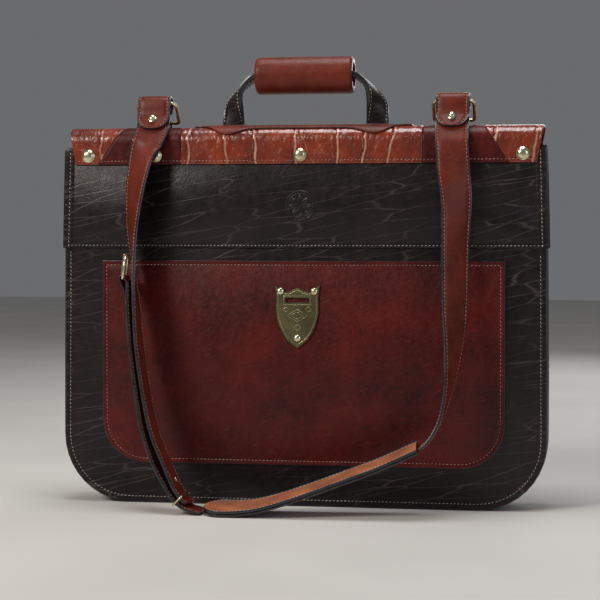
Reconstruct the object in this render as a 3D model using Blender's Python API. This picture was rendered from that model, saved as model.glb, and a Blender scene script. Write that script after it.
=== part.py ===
"""Bi-fold garment bag in leather, standing closed with its shoulder strap hanging behind it.

Metres, +Z up, +X to the wearer's right, -Y towards the back of the bag with the badge.
Depths are distances from the plane where the two halves meet, before the whole bag is
moved along Y so that its bounding box is centred on the origin.
"""

import math

import bmesh
import bpy
from mathutils import Matrix, Vector

for stale in list(bpy.data.objects):
    bpy.data.objects.remove(stale)

# Driving sizes of the body.
HALF_WIDTH = 0.280
PANEL_TOP = 0.411
PANEL_OUT = 0.034          # outer face of each panel, from the meeting plane
PANEL_THICK = 0.005
CORNER_BOTTOM = 0.078
CORNER_TOP = 0.006
TOP_INSET = 0.003          # each panel narrows by this much at the top
GAP = 0.0003               # left between pieces that touch
LEATHER = 0.0017
GUSSET_THICK = 0.0025
LINING_THICK = 0.0013
SPLICE_LEFT = 0.180        # height where the bottom gusset meets each side gusset
SPLICE_RIGHT = 0.154
YOKE_BOTTOM = 0.295
ARC_STEPS = 8

# Patch pockets.
POCKET_HALF_WIDTH = 0.232
POCKET_TOP = 0.281
POCKET_BOTTOM = 0.047
POCKET_CORNER = 0.050
POCKET_RIM = 0.006
POCKET_RECESS = 0.0037     # how far the pocket's hollow reaches into the panel
POCKET_STAND = 0.0013      # how far its front stands off the panel

# Saddle over the top of the bag.
SADDLE_THICK = 0.0022
SADDLE_OUT = PANEL_OUT + GAP + LEATHER + GAP + SADDLE_THICK
SHOULDER = 0.017
SADDLE_HEM = 0.391
SHOULDER_Z = 0.417
SADDLE_TOP = SHOULDER_Z + SHOULDER
SADDLE_HALF_HEM = 0.2665
SADDLE_HALF_TOP = 0.2745
SADDLE_SHORT_LEFT = 0.003  # its left end stops this much nearer the middle
FRONT_FLARE = 0.0048  # how much wider the front strip is at its top than at its hem
CENTRE_HIDE = 0.139
BAND_TOP = 0.207           # outer edge of each plain band, at the crest and at the hem
BAND_HEM = 0.236
DOME_RADIUS = 0.0075
DOME_Z = 0.401
DOME_X = (-0.248, -0.1685, 0.0, 0.1685, 0.251)

# Handle.
PATCH_HALF_WIDTH = 0.126
PATCH_THICK = 0.0017
HANDLE_PIVOT_Z = 0.4412
HANDLE_BASE_X = 0.084
HANDLE_WIDTH = 0.026
HANDLE_THICK = 0.0075
GRIP_Z = 0.494
GRIP_HALF_LENGTH = 0.0565
GRIP_RADIUS = 0.0222
GRIP_BORE = 0.0142

# D-rings.
RING_X = 0.172
RING_PIVOT_Z = 0.4405
RING_HALF_WIDTH = 0.023
RING_HEIGHT = 0.029
RING_CORNER = 0.0075
RING_WIRE = 0.002
RING_LEAN = math.radians(40)

# Shoulder strap.
STRAP_WIDTH = 0.038
STRAP_THICK = 0.0038
FOLD_RADIUS = 0.0094       # centre line of the fold over each ring
FOLD_LEAN = math.radians(34)
FOLD_PULL = 0.0040          # from the ring's wire down to the centre of the fold
PAD_WIDTH = 0.056
PAD_THICK = 0.0068
STUD_DROP = 0.0225

# The whole bag is moved along Y, so that its box is centred.
DOME_HEIGHT = 0.0036
FRONT_REACH = SADDLE_OUT + GAP + DOME_HEIGHT
BACK_REACH = 0.1280125     # near edge of the shoulder pad
CENTRING = (BACK_REACH - FRONT_REACH) / 2

LOOKS = {
    "black_leather": ((0.018, 0.013, 0.013), 0.45, 0.0),
    "chestnut_leather": ((0.085, 0.010, 0.008), 0.40, 0.0),
    "strap_leather": ((0.160, 0.030, 0.016), 0.42, 0.0),
    "alligator_hide": ((0.260, 0.040, 0.010), 0.30, 0.0),
    "suede": ((0.350, 0.115, 0.050), 0.90, 0.0),
    "bright_brass": ((0.580, 0.560, 0.330), 0.25, 1.0),
    "aged_brass": ((0.080, 0.080, 0.040), 0.45, 1.0),
    "lining_cloth": ((0.110, 0.080, 0.055), 0.85, 0.0),
    "board": ((0.200, 0.170, 0.130), 0.80, 0.0),
    "wood": ((0.300, 0.150, 0.060), 0.50, 0.0),
    "steel": ((0.500, 0.500, 0.500), 0.30, 1.0),
}

bag = bpy.data.collections.new("garment_bag")
cutters = bpy.data.collections.new("cutters")
for group in (bag, cutters):
    bpy.context.scene.collection.children.link(group)


def axis_empty(name, place, parent=None):
    """An empty on a joint's axis, which its pieces hang from."""
    empty = bpy.data.objects.new(name, None)
    bag.objects.link(empty)
    empty.location = place
    bpy.context.view_layer.update()
    if parent:
        hang(empty, parent)
    return empty


def hang(piece, empty):
    """Parents a piece to an empty and leaves it where it was modelled."""
    bpy.context.view_layer.update()
    piece.parent = empty
    piece.matrix_parent_inverse = empty.matrix_world.inverted()


def dress(piece, look, empty=None):
    """Gives a piece its own material, and hangs it from its body's empty."""
    colour, roughness, metallic = LOOKS[look]
    material = bpy.data.materials.new(piece.name)
    material.use_nodes = True
    shader = material.node_tree.nodes["Principled BSDF"]
    shader.inputs["Base Color"].default_value = (*colour, 1.0)
    shader.inputs["Roughness"].default_value = roughness
    shader.inputs["Metallic"].default_value = metallic
    piece.data.materials.append(material)
    hang(piece, empty or body_axis)
    return piece


def arc(centre, radius, start, end, steps=ARC_STEPS):
    """Points of an arc in a plane, from one angle in degrees to another."""
    turns = [math.radians(start + (end - start) * i / steps) for i in range(steps + 1)]
    return [(centre[0] + radius * math.cos(t), centre[1] + radius * math.sin(t)) for t in turns]


def poly_spline(curve, points, cyclic):
    spline = curve.splines.new("POLY")
    spline.points.add(len(points) - 1)
    for knot, point in zip(spline.points, points):
        knot.co = (*point, 0.0, 1.0) if len(point) == 2 else (*point, 1.0)
    spline.use_cyclic_u = cyclic


def flat_curve(name, outlines, thickness, rotation, place):
    """A flat outline, with any holes, given its thickness about the place."""
    curve = bpy.data.curves.new(name, "CURVE")
    curve.dimensions = "2D"
    curve.fill_mode = "BOTH"
    curve.extrude = thickness / 2
    for outline in outlines:
        poly_spline(curve, outline, True)
    piece = bpy.data.objects.new(name, curve)
    bag.objects.link(piece)
    piece.rotation_euler = rotation
    piece.location = place
    return piece


def upright(name, outlines, near, far, look, empty=None):
    """A sheet whose outline is in X and Z, between two places along Y."""
    piece = flat_curve(name, outlines, abs(far - near), (math.pi / 2, 0, 0), (0, (near + far) / 2, 0))
    return dress(piece, look, empty)


def crosswise(name, outlines, left, right, look, empty=None):
    """A section in Y and Z drawn out along X."""
    turn = (math.pi / 2, 0, math.pi / 2)
    piece = flat_curve(name, outlines, right - left, turn, ((left + right) / 2, 0, 0))
    return dress(piece, look, empty)


def wire(name, points, radius, look, empty=None, cyclic=False):
    curve = bpy.data.curves.new(name, "CURVE")
    curve.dimensions = "3D"
    curve.bevel_depth = radius
    curve.bevel_resolution = 2
    curve.use_fill_caps = not cyclic
    poly_spline(curve, points, cyclic)
    piece = bpy.data.objects.new(name, curve)
    bag.objects.link(piece)
    return dress(piece, look, empty)


def mesh_piece(name, shape, look, empty=None, smooth=False):
    """Turns a finished bmesh into a piece."""
    bmesh.ops.recalc_face_normals(shape, faces=shape.faces)
    mesh = bpy.data.meshes.new(name)
    shape.to_mesh(mesh)
    shape.free()
    piece = bpy.data.objects.new(name, mesh)
    bag.objects.link(piece)
    if smooth:
        mesh.shade_smooth()
        mesh.set_sharp_from_angle(angle=math.radians(40))
    return dress(piece, look, empty)


def loft(name, sections, look, empty=None):
    """Skins closed sections of equal count and caps both ends."""
    shape = bmesh.new()
    loops = [[shape.verts.new(point) for point in section] for section in sections]
    count = len(loops[0])
    for first, second in zip(loops, loops[1:]):
        for i in range(count):
            j = (i + 1) % count
            shape.faces.new((first[i], first[j], second[j], second[i]))
    shape.faces.new(loops[0])
    shape.faces.new(list(reversed(loops[-1])))
    return mesh_piece(name, shape, look, empty)


def smooth_route(knots, spans):
    """Points of a Catmull-Rom curve through the knots, which may have any number of values."""
    ends = [knots[0]] + list(knots) + [knots[-1]]
    points = []
    for a, b, c, d in zip(ends, ends[1:], ends[2:], ends[3:]):
        for i in range(spans):
            t = i / spans
            points.append(tuple(
                0.5 * (2 * q + (r - p) * t + (2 * p - 5 * q + 4 * r - s) * t**2
                       + (3 * q - p - 3 * r + s) * t**3)
                for p, q, r, s in zip(a, b, c, d)))
    points.append(tuple(knots[-1]))
    return points


def ribbon(name, route, hand, width, thickness, look, empty=None):
    """A strap through (x, y, z, turn), turned about the vertical from facing Y to facing X.

    hand is +1 where its right edge turns to -Y, and -1 where its left edge does.
    """
    centres = [Vector(point[:3]) for point in route]
    sections = []
    for i, (centre, point) in enumerate(zip(centres, route)):
        along = (centres[min(i + 1, len(centres) - 1)] - centres[max(i - 1, 0)]).normalized()
        turn = math.radians(point[3])
        across = Vector((math.cos(turn), -hand * math.sin(turn), 0))
        across = (across - along * across.dot(along)).normalized()
        out = along.cross(across)
        half, deep = across * width / 2, out * thickness / 2
        sections.append((centre - half - deep, centre + half - deep,
                         centre + half + deep, centre - half + deep))
    return loft(name, sections, look, empty)


def dome(name, place, facing, radius, height, look, empty=None, rings=3, sides=14):
    """A domed rivet or stud head whose flat base is at the place."""
    shape = bmesh.new()
    loops = []
    for i in range(rings):
        rise = math.pi / 2 * i / rings
        circle = [(radius * math.cos(rise) * math.cos(2 * math.pi * k / sides),
                   radius * math.cos(rise) * math.sin(2 * math.pi * k / sides),
                   height * math.sin(rise)) for k in range(sides)]
        loops.append([shape.verts.new(point) for point in circle])
    tip = shape.verts.new((0, 0, height))
    for first, second in zip(loops, loops[1:]):
        for k in range(sides):
            shape.faces.new((first[k], first[(k + 1) % sides], second[(k + 1) % sides], second[k]))
    for k in range(sides):
        shape.faces.new((loops[-1][k], loops[-1][(k + 1) % sides], tip))
    shape.faces.new(list(reversed(loops[0])))
    turn = Vector((0, 0, 1)).rotation_difference(Vector(facing)).to_matrix().to_4x4()
    bmesh.ops.transform(shape, matrix=Matrix.Translation(place) @ turn, verts=shape.verts)
    return mesh_piece(name, shape, look, empty, smooth=True)


def body_outline(inset=0.0, bottom=0.0, top=PANEL_TOP):
    """Outline of a panel in X and Z, from its top right corner round by the bottom."""
    side = HALF_WIDTH - inset
    side_top = side - TOP_INSET
    small = CORNER_TOP
    big = CORNER_BOTTOM - inset
    if bottom > 0:
        return [(side, bottom), (-side, bottom)] + \
            arc((-side_top + small, top - small), small, 180, 90) + \
            arc((side_top - small, top - small), small, 90, 0)
    left = arc((-side + big, inset + big), big, 270, 180)
    right = arc((side - big, inset + big), big, 360, 270)
    return right + left + arc((-side_top + small, top - small), small, 180, 90) + \
        arc((side_top - small, top - small), small, 90, 0)


def pocket_outline(inset, top):
    side = POCKET_HALF_WIDTH - inset
    big = POCKET_CORNER - inset
    low = POCKET_BOTTOM + inset
    return arc((side - big, low + big), big, 360, 270) + \
        arc((-side + big, low + big), big, 270, 180) + [(-side, top), (side, top)]


def as_mesh(piece):
    """Replaces a curve by its mesh, welded, so that it can be cut."""
    bpy.context.view_layer.update()
    graph = bpy.context.evaluated_depsgraph_get()
    mesh = bpy.data.meshes.new_from_object(piece.evaluated_get(graph))
    shape = bmesh.new()
    shape.from_mesh(mesh)
    bmesh.ops.remove_doubles(shape, verts=shape.verts, dist=1e-6)
    bmesh.ops.recalc_face_normals(shape, faces=shape.faces)
    shape.to_mesh(mesh)
    shape.free()
    name, place, parent = piece.name, piece.matrix_world.copy(), piece.parent
    bpy.data.objects.remove(piece)
    solid = bpy.data.objects.new(name, mesh)
    bag.objects.link(solid)
    solid.matrix_world = place
    if parent:
        hang(solid, parent)
    return solid


def cut(piece, cutter):
    tool = piece.modifiers.new("cut_" + cutter.name, "BOOLEAN")
    tool.operation = "DIFFERENCE"
    tool.solver = "EXACT"
    tool.object = cutter
    if cutter.name not in cutters.objects:
        bag.objects.unlink(cutter)
        cutters.objects.link(cutter)
    cutter.hide_render = True
    cutter.display_type = "WIRE"


def make_half(half, side, empty):
    """The panel, yoke, gussets, lining and pocket of one half. side is -1 at the back."""
    name = half + "_"
    back = PANEL_OUT - PANEL_THICK
    gusset_out = back - GAP
    lining_out = gusset_out
    panel = upright(name + "panel", [body_outline()], side * back, side * PANEL_OUT,
                    "black_leather", empty)
    yoke_in = PANEL_OUT + GAP
    upright(name + "yoke", [body_outline(0.0, YOKE_BOTTOM)], side * yoke_in,
            side * (yoke_in + LEATHER), "black_leather", empty)
    upright(name + "lining", [body_outline(GUSSET_THICK + GAP)],
            side * (lining_out - LINING_THICK), side * lining_out, "lining_cloth", empty)
    make_gussets(name, side, empty)
    pocket_in = PANEL_OUT + GAP
    pocket_out = pocket_in + POCKET_STAND + LEATHER
    pocket = upright(name + "pocket", [pocket_outline(0.0, POCKET_TOP)],
                     side * pocket_in, side * pocket_out, "chestnut_leather", empty)
    hollow = upright(name + "pocket_hollow", [pocket_outline(POCKET_RIM, POCKET_TOP + 0.010)],
                     side * (PANEL_OUT - POCKET_RECESS), side * (pocket_in + POCKET_STAND),
                     "board", empty)
    pocket, panel, hollow = as_mesh(pocket), as_mesh(panel), as_mesh(hollow)
    for piece in (pocket, panel):
        cut(piece, hollow)


def make_gussets(name, side, empty):
    near, far = side * 0.001, side * (PANEL_OUT - PANEL_THICK - 2 * GAP - LINING_THICK)
    outer, inner = HALF_WIDTH, HALF_WIDTH - GUSSET_THICK
    big = CORNER_BOTTOM
    for hand, splice in (("left", SPLICE_LEFT), ("right", SPLICE_RIGHT)):
        sign = -1 if hand == "left" else 1
        strip = [(sign * inner, splice + GAP), (sign * outer, splice + GAP),
                 (sign * (outer - TOP_INSET), PANEL_TOP), (sign * (inner - TOP_INSET), PANEL_TOP)]
        upright(name + "gusset_" + hand, [strip], near, far, "black_leather", empty)
    bottom = [(outer, SPLICE_RIGHT)] + arc((outer - big, big), big, 360, 270) + \
        arc((-outer + big, big), big, 270, 180) + [(-outer, SPLICE_LEFT), (-inner, SPLICE_LEFT)] + \
        arc((-outer + big, big), big - GUSSET_THICK, 180, 270) + \
        arc((outer - big, big), big - GUSSET_THICK, 270, 360) + [(inner, SPLICE_RIGHT)]
    upright(name + "gusset_bottom", [bottom], near, far, "black_leather", empty)


def saddle_section(outer_lift, back_hem, front_hem=None):
    """Outer points of the saddle in Y and Z, from the back hem over to the front shoulder."""
    out = SADDLE_OUT + outer_lift
    centre = SADDLE_OUT - SHOULDER
    radius = SHOULDER + outer_lift
    points = [(-out, back_hem)]
    points += arc((-centre, SHOULDER_Z), radius, 180, 90)
    if front_hem is not None:
        points += arc((centre, SHOULDER_Z), radius, 90, 0)
    return points


def edge_at(z, hem_x, top_x):
    """Where a slanted edge of the saddle is at one height, measured up its back strip."""
    share = min(max((z - SADDLE_HEM) / (SADDLE_TOP - SADDLE_HEM), 0.0), 1.0)
    return hem_x + (top_x - hem_x) * share


def saddle_piece(name, left, right, look, empty=None):
    """One hide of the saddle between two edges, each (x at the hem, x at the crest)."""
    outer = saddle_section(0.0, SADDLE_HEM, SHOULDER_Z)
    inner = saddle_section(-SADDLE_THICK, SADDLE_HEM, SHOULDER_Z)
    ring = outer + list(reversed(inner))
    sections = [[(edge_at(z, *side), y, z) for y, z in ring] for side in (left, right)]
    return loft(name, sections, look, empty)


def make_saddle():
    pieces = (
        ("saddle_corner_left", (-SADDLE_HALF_HEM + SADDLE_SHORT_LEFT,
                                -SADDLE_HALF_TOP + SADDLE_SHORT_LEFT), (-BAND_HEM, -BAND_TOP)),
        ("saddle_band_left", (-BAND_HEM, -BAND_TOP), (-CENTRE_HIDE, -CENTRE_HIDE)),
        ("saddle_centre", (-CENTRE_HIDE, -CENTRE_HIDE), (CENTRE_HIDE, CENTRE_HIDE)),
        ("saddle_band_right", (CENTRE_HIDE, CENTRE_HIDE), (BAND_HEM, BAND_TOP)),
        ("saddle_corner_right", (BAND_HEM, BAND_TOP), (SADDLE_HALF_HEM, SADDLE_HALF_TOP)),
    )
    for name, left, right in pieces:
        look = "chestnut_leather" if "band" in name else "alligator_hide"
        left = tuple(x + GAP / 2 for x in left)
        right = tuple(x - GAP / 2 for x in right)
        saddle_piece(name, left, right, look)
    crosswise("spine_board", [[(-0.030, 0.4245), (0.030, 0.4245), (0.030, 0.4265),
                               (0.020, 0.4312), (-0.020, 0.4312), (-0.030, 0.4265)]],
              -0.262, 0.262, "board")
    lift = PATCH_THICK + GAP
    centre = SADDLE_OUT - SHOULDER
    bend = 38
    outer = arc((-centre, SHOULDER_Z), SHOULDER + lift, 90 + bend, 90, 4) + \
        arc((centre, SHOULDER_Z), SHOULDER + lift, 90, 90 - bend, 4)
    inner = arc((centre, SHOULDER_Z), SHOULDER + GAP, 90 - bend, 90, 4) + \
        arc((-centre, SHOULDER_Z), SHOULDER + GAP, 90, 90 + bend, 4)
    crosswise("handle_patch", [outer + inner], -PATCH_HALF_WIDTH, PATCH_HALF_WIDTH,
              "chestnut_leather")
    left_hem = -SADDLE_HALF_HEM + SADDLE_SHORT_LEFT
    front_hem = [(SADDLE_HALF_HEM, SADDLE_HEM), (left_hem, SADDLE_HEM),
                 (left_hem - FRONT_FLARE, SHOULDER_Z - GAP),
                 (SADDLE_HALF_HEM + FRONT_FLARE, SHOULDER_Z - GAP)]
    upright("saddle_front", [front_hem], SADDLE_OUT - SADDLE_THICK, SADDLE_OUT,
            "alligator_hide", front_axis)
    for i, x in enumerate(DOME_X, 1):
        dome(f"saddle_rivet_{i}", (x, -SADDLE_OUT - GAP, DOME_Z), (0, -1, 0),
             DOME_RADIUS, DOME_HEIGHT, "bright_brass")
        dome(f"front_rivet_{i}", (x, SADDLE_OUT + GAP, DOME_Z), (0, 1, 0),
             DOME_RADIUS, DOME_HEIGHT, "bright_brass", front_axis)


def make_badge():
    """Shield plate with a scalloped top, a slot and three rivets."""
    x, top, low = -0.003, 0.250, 0.1815
    half, peak = 0.026, 0.0045
    face = -(PANEL_OUT + GAP + POCKET_STAND + LEATHER + GAP)
    plate = 0.0022
    crest = [(0.0, top), (0.007, top - 0.0035), (0.013, top - 0.005), (0.019, top - 0.0035),
             (0.0235, top + 0.001), (half, top + peak - 0.001)]
    flank = [(0.0238, top - 0.010), (0.0245, top - 0.022), (0.0235, top - 0.034),
             (0.0195, top - 0.047), (0.0120, top - 0.059)]
    right = crest + flank
    outline = [(x + px, z) for px, z in right] + [(x, low)] + \
        [(x - px, z) for px, z in reversed(right[1:])]
    slot = [(x - 0.0135, 0.2330), (x - 0.0135, 0.2386), (x + 0.0135, 0.2386), (x + 0.0135, 0.2330)]
    upright("badge_plate", [outline, slot], face, face - plate, "aged_brass")
    spots = (("left", -0.0195, 0.2460), ("right", 0.0195, 0.2460), ("tip", 0.0, 0.1925))
    for hand, dx, z in spots:
        dome("badge_rivet_" + hand, (x + dx, face - plate - GAP, z), (0, -1, 0),
             0.0042, 0.0020, "bright_brass", sides=12)


def make_handle():
    leg = [
        (HANDLE_BASE_X, 0.4377, 0), (HANDLE_BASE_X, 0.4450, 8), (0.0835, 0.4570, 28),
        (0.0805, 0.4680, 55), (0.0745, 0.4795, 78), (0.0650, 0.4888, 90),
        (0.0560, GRIP_Z, 90), (0.0300, GRIP_Z, 90),
    ]
    knots = [(-x, 0.0, z, turn) for x, z, turn in leg] + \
        [(x, 0.0, z, 180 - turn) for x, z, turn in reversed(leg)]
    ribbon("handle_strap", smooth_route(knots, 3), 1, HANDLE_WIDTH, HANDLE_THICK,
           "black_leather", handle_axis)
    rim = 0.004
    profile = [(GRIP_BORE, -GRIP_HALF_LENGTH), (GRIP_RADIUS - rim, -GRIP_HALF_LENGTH),
               (GRIP_RADIUS, -GRIP_HALF_LENGTH + rim), (GRIP_RADIUS, GRIP_HALF_LENGTH - rim),
               (GRIP_RADIUS - rim, GRIP_HALF_LENGTH), (GRIP_BORE, GRIP_HALF_LENGTH)]
    sides = 28
    shape = bmesh.new()
    loops = []
    for k in range(sides):
        turn = 2 * math.pi * k / sides
        loops.append([shape.verts.new((x, r * math.cos(turn), GRIP_Z + r * math.sin(turn)))
                      for r, x in profile])
    for k in range(sides):
        first, second = loops[k], loops[(k + 1) % sides]
        for i in range(len(profile)):
            j = (i + 1) % len(profile)
            shape.faces.new((first[i], first[j], second[j], second[i]))
    mesh_piece("grip_wrap", shape, "strap_leather", handle_axis, smooth=True)


def ring_point(x, rise, side):
    """A point of a leaning ring, x from its middle and rise above its base bar."""
    return (side * RING_X + x, -rise * math.sin(RING_LEAN), RING_PIVOT_Z + rise * math.cos(RING_LEAN))


def make_rings():
    shoulder = RING_HEIGHT - RING_CORNER
    flat = RING_HALF_WIDTH - RING_CORNER
    half = arc((flat, shoulder), RING_CORNER, 0, 90, 6)
    outline = [(RING_HALF_WIDTH, 0.0)] + half + \
        [(-x, rise) for x, rise in reversed(half)] + [(-RING_HALF_WIDTH, 0.0)]
    for hand, side, empty in (("left", -1, ring_left_axis), ("right", 1, ring_right_axis)):
        wire("ring_" + hand, [ring_point(x, rise, side) for x, rise in outline], RING_WIRE,
             "bright_brass", empty, cyclic=True)
        bar_gap, wall = 0.0026, 0.0018
        foot = SADDLE_TOP + GAP
        loop = [(-0.012, foot), (0.012, foot), (0.012, foot + wall), (0.0052, foot + wall)] + \
            arc((0, RING_PIVOT_Z), bar_gap + wall, 0, 180, 8) + \
            [(-0.0052, foot + wall), (-0.012, foot + wall)]
        hole = arc((0, RING_PIVOT_Z), bar_gap, 0, 315, 7)
        crosswise("ring_loop_" + hand, [loop, hole], side * RING_X - 0.013,
                  side * RING_X + 0.013, "strap_leather")


def fold_frame(side):
    """Centre of a strap's fold over its ring, with its down and outward directions."""
    down = Vector((0, -math.sin(FOLD_LEAN), -math.cos(FOLD_LEAN)))
    out = Vector((0, -math.cos(FOLD_LEAN), math.sin(FOLD_LEAN)))
    crest = Vector(ring_point(0.0, RING_HEIGHT, side))
    return crest + down * FOLD_PULL, down, out


def fold_route(side):
    """The strap's tab and its fold over the ring, as (x, y, z, turn), ending on the main run."""
    centre, down, out = fold_frame(side)
    apart = (STRAP_THICK + 2 * GAP) / 2
    tab = [centre + down * s + out * (apart + (FOLD_RADIUS - apart) * w)
           for s, w in ((0.035, 0.0), (0.027, 0.0), (0.019, 0.0), (0.013, 0.16), (0.006, 0.70))]
    bend = [centre + out * FOLD_RADIUS * math.cos(t) - down * FOLD_RADIUS * math.sin(t)
            for t in (math.pi * i / 8 for i in range(9))]
    run = [centre + down * s - out * (apart + (FOLD_RADIUS - apart) * w)
           for s, w in ((0.006, 0.70), (0.013, 0.16), (0.019, 0.0), (0.027, 0.0), (0.036, 0.0))]
    return [(*point, 0.0) for point in tab + bend + run]


def make_strap():
    left = fold_route(-1) + smooth_route([
        (-0.1760, -0.0470, 0.4150, 6), (-0.1815, -0.0520, 0.3980, 30),
        (-0.1870, -0.0575, 0.3630, 44), (-0.1895, -0.0620, 0.3220, 58),
        (-0.1876, -0.0663, 0.2830, 72), (-0.1855, -0.0695, 0.2550, 80),
        (-0.1825, -0.0727, 0.2277, 86), (-0.1777, -0.0779, 0.1836, 90),
        (-0.1670, -0.0851, 0.1237, 90), (-0.1569, -0.0896, 0.0859, 90),
        (-0.1440, -0.0930, 0.0570, 90), (-0.1307, -0.0967, 0.0295, 90),
        (-0.1210, -0.0983, 0.0162, 90), (-0.1135, -0.0990, 0.0101, 90)], 2)
    ribbon("strap_upper_left", left, 1, STRAP_WIDTH, STRAP_THICK, "strap_leather", strap_axis)
    lower = smooth_route([
        (-0.1913, -0.0695, 0.2550, 84), (-0.1898, -0.0727, 0.2275, 88),
        (-0.1842, -0.0786, 0.1780, 90), (-0.1753, -0.0851, 0.1235, 90),
        (-0.1682, -0.0890, 0.0910, 90), (-0.1568, -0.0929, 0.0589, 90),
        (-0.1434, -0.0958, 0.0345, 90), (-0.1312, -0.0980, 0.0167, 90),
        (-0.1198, -0.0991, 0.0074, 90), (-0.1060, -0.0998, 0.0030, 90),
        (-0.0985, -0.1000, 0.0028, 90)], 2)
    ribbon("strap_lower_left", lower, 1, STRAP_WIDTH, STRAP_THICK, "strap_leather", strap_axis)
    right = fold_route(1) + smooth_route([
        (0.1725, -0.0470, 0.4150, 0), (0.1750, -0.0545, 0.3830, 12),
        (0.1785, -0.0594, 0.3470, 30), (0.1780, -0.0655, 0.2980, 41),
        (0.1783, -0.0735, 0.2330, 46), (0.1778, -0.0780, 0.1930, 60),
        (0.1745, -0.0830, 0.1520, 76), (0.1690, -0.0860, 0.1240, 86),
        (0.1625, -0.0885, 0.1030, 90), (0.1520, -0.0910, 0.0850, 90),
        (0.1415, -0.0922, 0.0758, 90)], 2)
    ribbon("strap_right", right, -1, STRAP_WIDTH, STRAP_THICK, "strap_leather", strap_axis)
    pad = smooth_route([
        (-0.0970, -0.1000, 0.0045, 90), (-0.0800, -0.1000, 0.0037, 90),
        (-0.0630, -0.1000, 0.0040, 90), (-0.0400, -0.0998, 0.0068, 90),
        (-0.0145, -0.0990, 0.0135, 90), (0.0160, -0.0978, 0.0240, 90),
        (0.0570, -0.0960, 0.0395, 90), (0.0970, -0.0942, 0.0550, 90),
        (0.1395, -0.0923, 0.0747, 90)], 2)
    ribbon("shoulder_pad", pad, 1, PAD_WIDTH, PAD_THICK, "suede", strap_axis)
    for hand, side in (("left", -1), ("right", 1)):
        centre, down, out = fold_frame(side)
        lift = (STRAP_THICK + 2 * GAP) / 2 + STRAP_THICK / 2 + GAP
        dome("stud_" + hand, centre + down * STUD_DROP + out * lift, out, 0.0045, 0.0050,
             "bright_brass", strap_axis)


def make_buckle():
    """Horseshoe frame and tongue on the left run, the keeper ring and the tail's rivet."""
    lean = Vector((0.13, 0.0, 1.0)).normalized()
    across = Vector((0.17, -1.0, 0.0)).normalized()
    half, straight, corner, rod = 0.0215, 0.013, 0.0140, 0.0015
    flat = half - corner
    arch = arc((flat, straight), corner, 0, 90, 6)
    outline = [(half, 0.0)] + arch + [(-w, v) for w, v in reversed(arch)] + [(-half, 0.0)]
    wire("buckle_frame", [BUCKLE_BAR + across * w + lean * v for w, v in outline], rod,
         "bright_brass", strap_axis, cyclic=True)
    outside = Vector((-1, 0, 0)) * (2 * rod + 0.0004)
    wire("buckle_tongue", [BUCKLE_BAR + outside + lean * v for v in (0.0, 0.010, 0.020, 0.0285)],
         0.0012, "bright_brass", tongue_axis)
    away = Vector((0.70, 0.0, 0.714))
    centre = Vector((-0.1250, -0.0983, 0.0155))
    wide, deep = 0.0207, 0.0073
    rim = 0.0011
    corners = ((wide, -deep + 0.002), (wide - 0.002, -deep), (-wide + 0.002, -deep),
               (-wide, -deep + 0.002), (-wide, deep - 0.002), (-wide + 0.002, deep),
               (wide - 0.002, deep), (wide, deep - 0.002))
    wire("keeper_ring", [centre + Vector((0, w, 0)) + away * v for w, v in corners], rim,
         "bright_brass", strap_axis, cyclic=True)
    face = Vector((0.88, 0.0, 0.47)).normalized()
    dome("strap_rivet", Vector((-0.1335, -0.0930, 0.0350)) + face * (STRAP_THICK / 2 + GAP), face,
         0.0032, 0.0018, "bright_brass", strap_axis, sides=10)


def make_inside():
    """Hanger, its bracket and hook, the garment bands and the closing magnets."""
    hang_y = -0.012
    plate = [(-0.014, 0.4040), (0.014, 0.4040), (0.014, 0.4238), (-0.014, 0.4238)]
    eye = arc((0, 0.4110), 0.0046, 0, 315, 7)
    upright("hanger_bracket", [plate, eye], hang_y - 0.0015, hang_y + 0.0015, "steel")
    bend = 0.008
    over = [(0.0, hang_y + bend * math.cos(t), 0.4030 + bend * math.sin(t))
            for t in (math.pi * i / 8 for i in range(9))]
    wire("hanger_hook", [(0.0, hang_y + bend, 0.3870)] + over, 0.0016, "steel")
    shoulder = smooth_route([(0.0, 0.3865), (0.060, 0.3740), (0.130, 0.3470), (0.200, 0.3080),
                             (0.215, 0.2960)], 2)
    under = smooth_route([(0.205, 0.2860), (0.125, 0.3290), (0.055, 0.3560), (0.0, 0.3660)], 2)
    right = shoulder + under
    outline = right + [(-x, z) for x, z in reversed(right[1:-1])]
    upright("garment_hanger", [outline], -0.0080, -0.0035 - GAP, "wood")
    reach = HALF_WIDTH - GUSSET_THICK - TOP_INSET
    for hand, z in (("upper", 0.220), ("lower", 0.120)):
        band = [(-reach, z), (reach, z), (reach, z + 0.030), (-reach, z + 0.030)]
        upright("garment_band_" + hand, [band], -0.0035, -0.0020, "lining_cloth")
    for half, side, empty in (("back", -1, body_axis), ("front", 1, front_axis)):
        tab = [(-0.010, GUSSET_THICK + GAP), (0.010, GUSSET_THICK + GAP),
               (0.010, 0.0200), (-0.010, 0.0200)]
        upright(half + "_magnet", [tab], side * 0.0008, side * 0.0048, "steel", empty)


body_axis = axis_empty("bag_origin", (0, 0, 0))
front_axis = axis_empty("front_half_axis", (0, SADDLE_OUT + GAP, SHOULDER_Z), body_axis)
handle_axis = axis_empty("handle_axis", (0, 0, HANDLE_PIVOT_Z), body_axis)
ring_left_axis = axis_empty("ring_left_axis", (-RING_X, 0, RING_PIVOT_Z), body_axis)
ring_right_axis = axis_empty("ring_right_axis", (RING_X, 0, RING_PIVOT_Z), body_axis)
strap_axis = axis_empty("strap_axis", ring_point(0.0, RING_HEIGHT, -1), ring_left_axis)
BUCKLE_BAR = Vector((-0.1975, -0.0695, 0.2610))
tongue_axis = axis_empty("tongue_axis", BUCKLE_BAR, strap_axis)

make_half("back", -1, body_axis)
make_half("front", 1, front_axis)
make_saddle()
make_badge()
make_handle()
make_rings()
make_strap()
make_buckle()
make_inside()

body_axis.location.y = CENTRING
bpy.context.view_layer.update()
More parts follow.
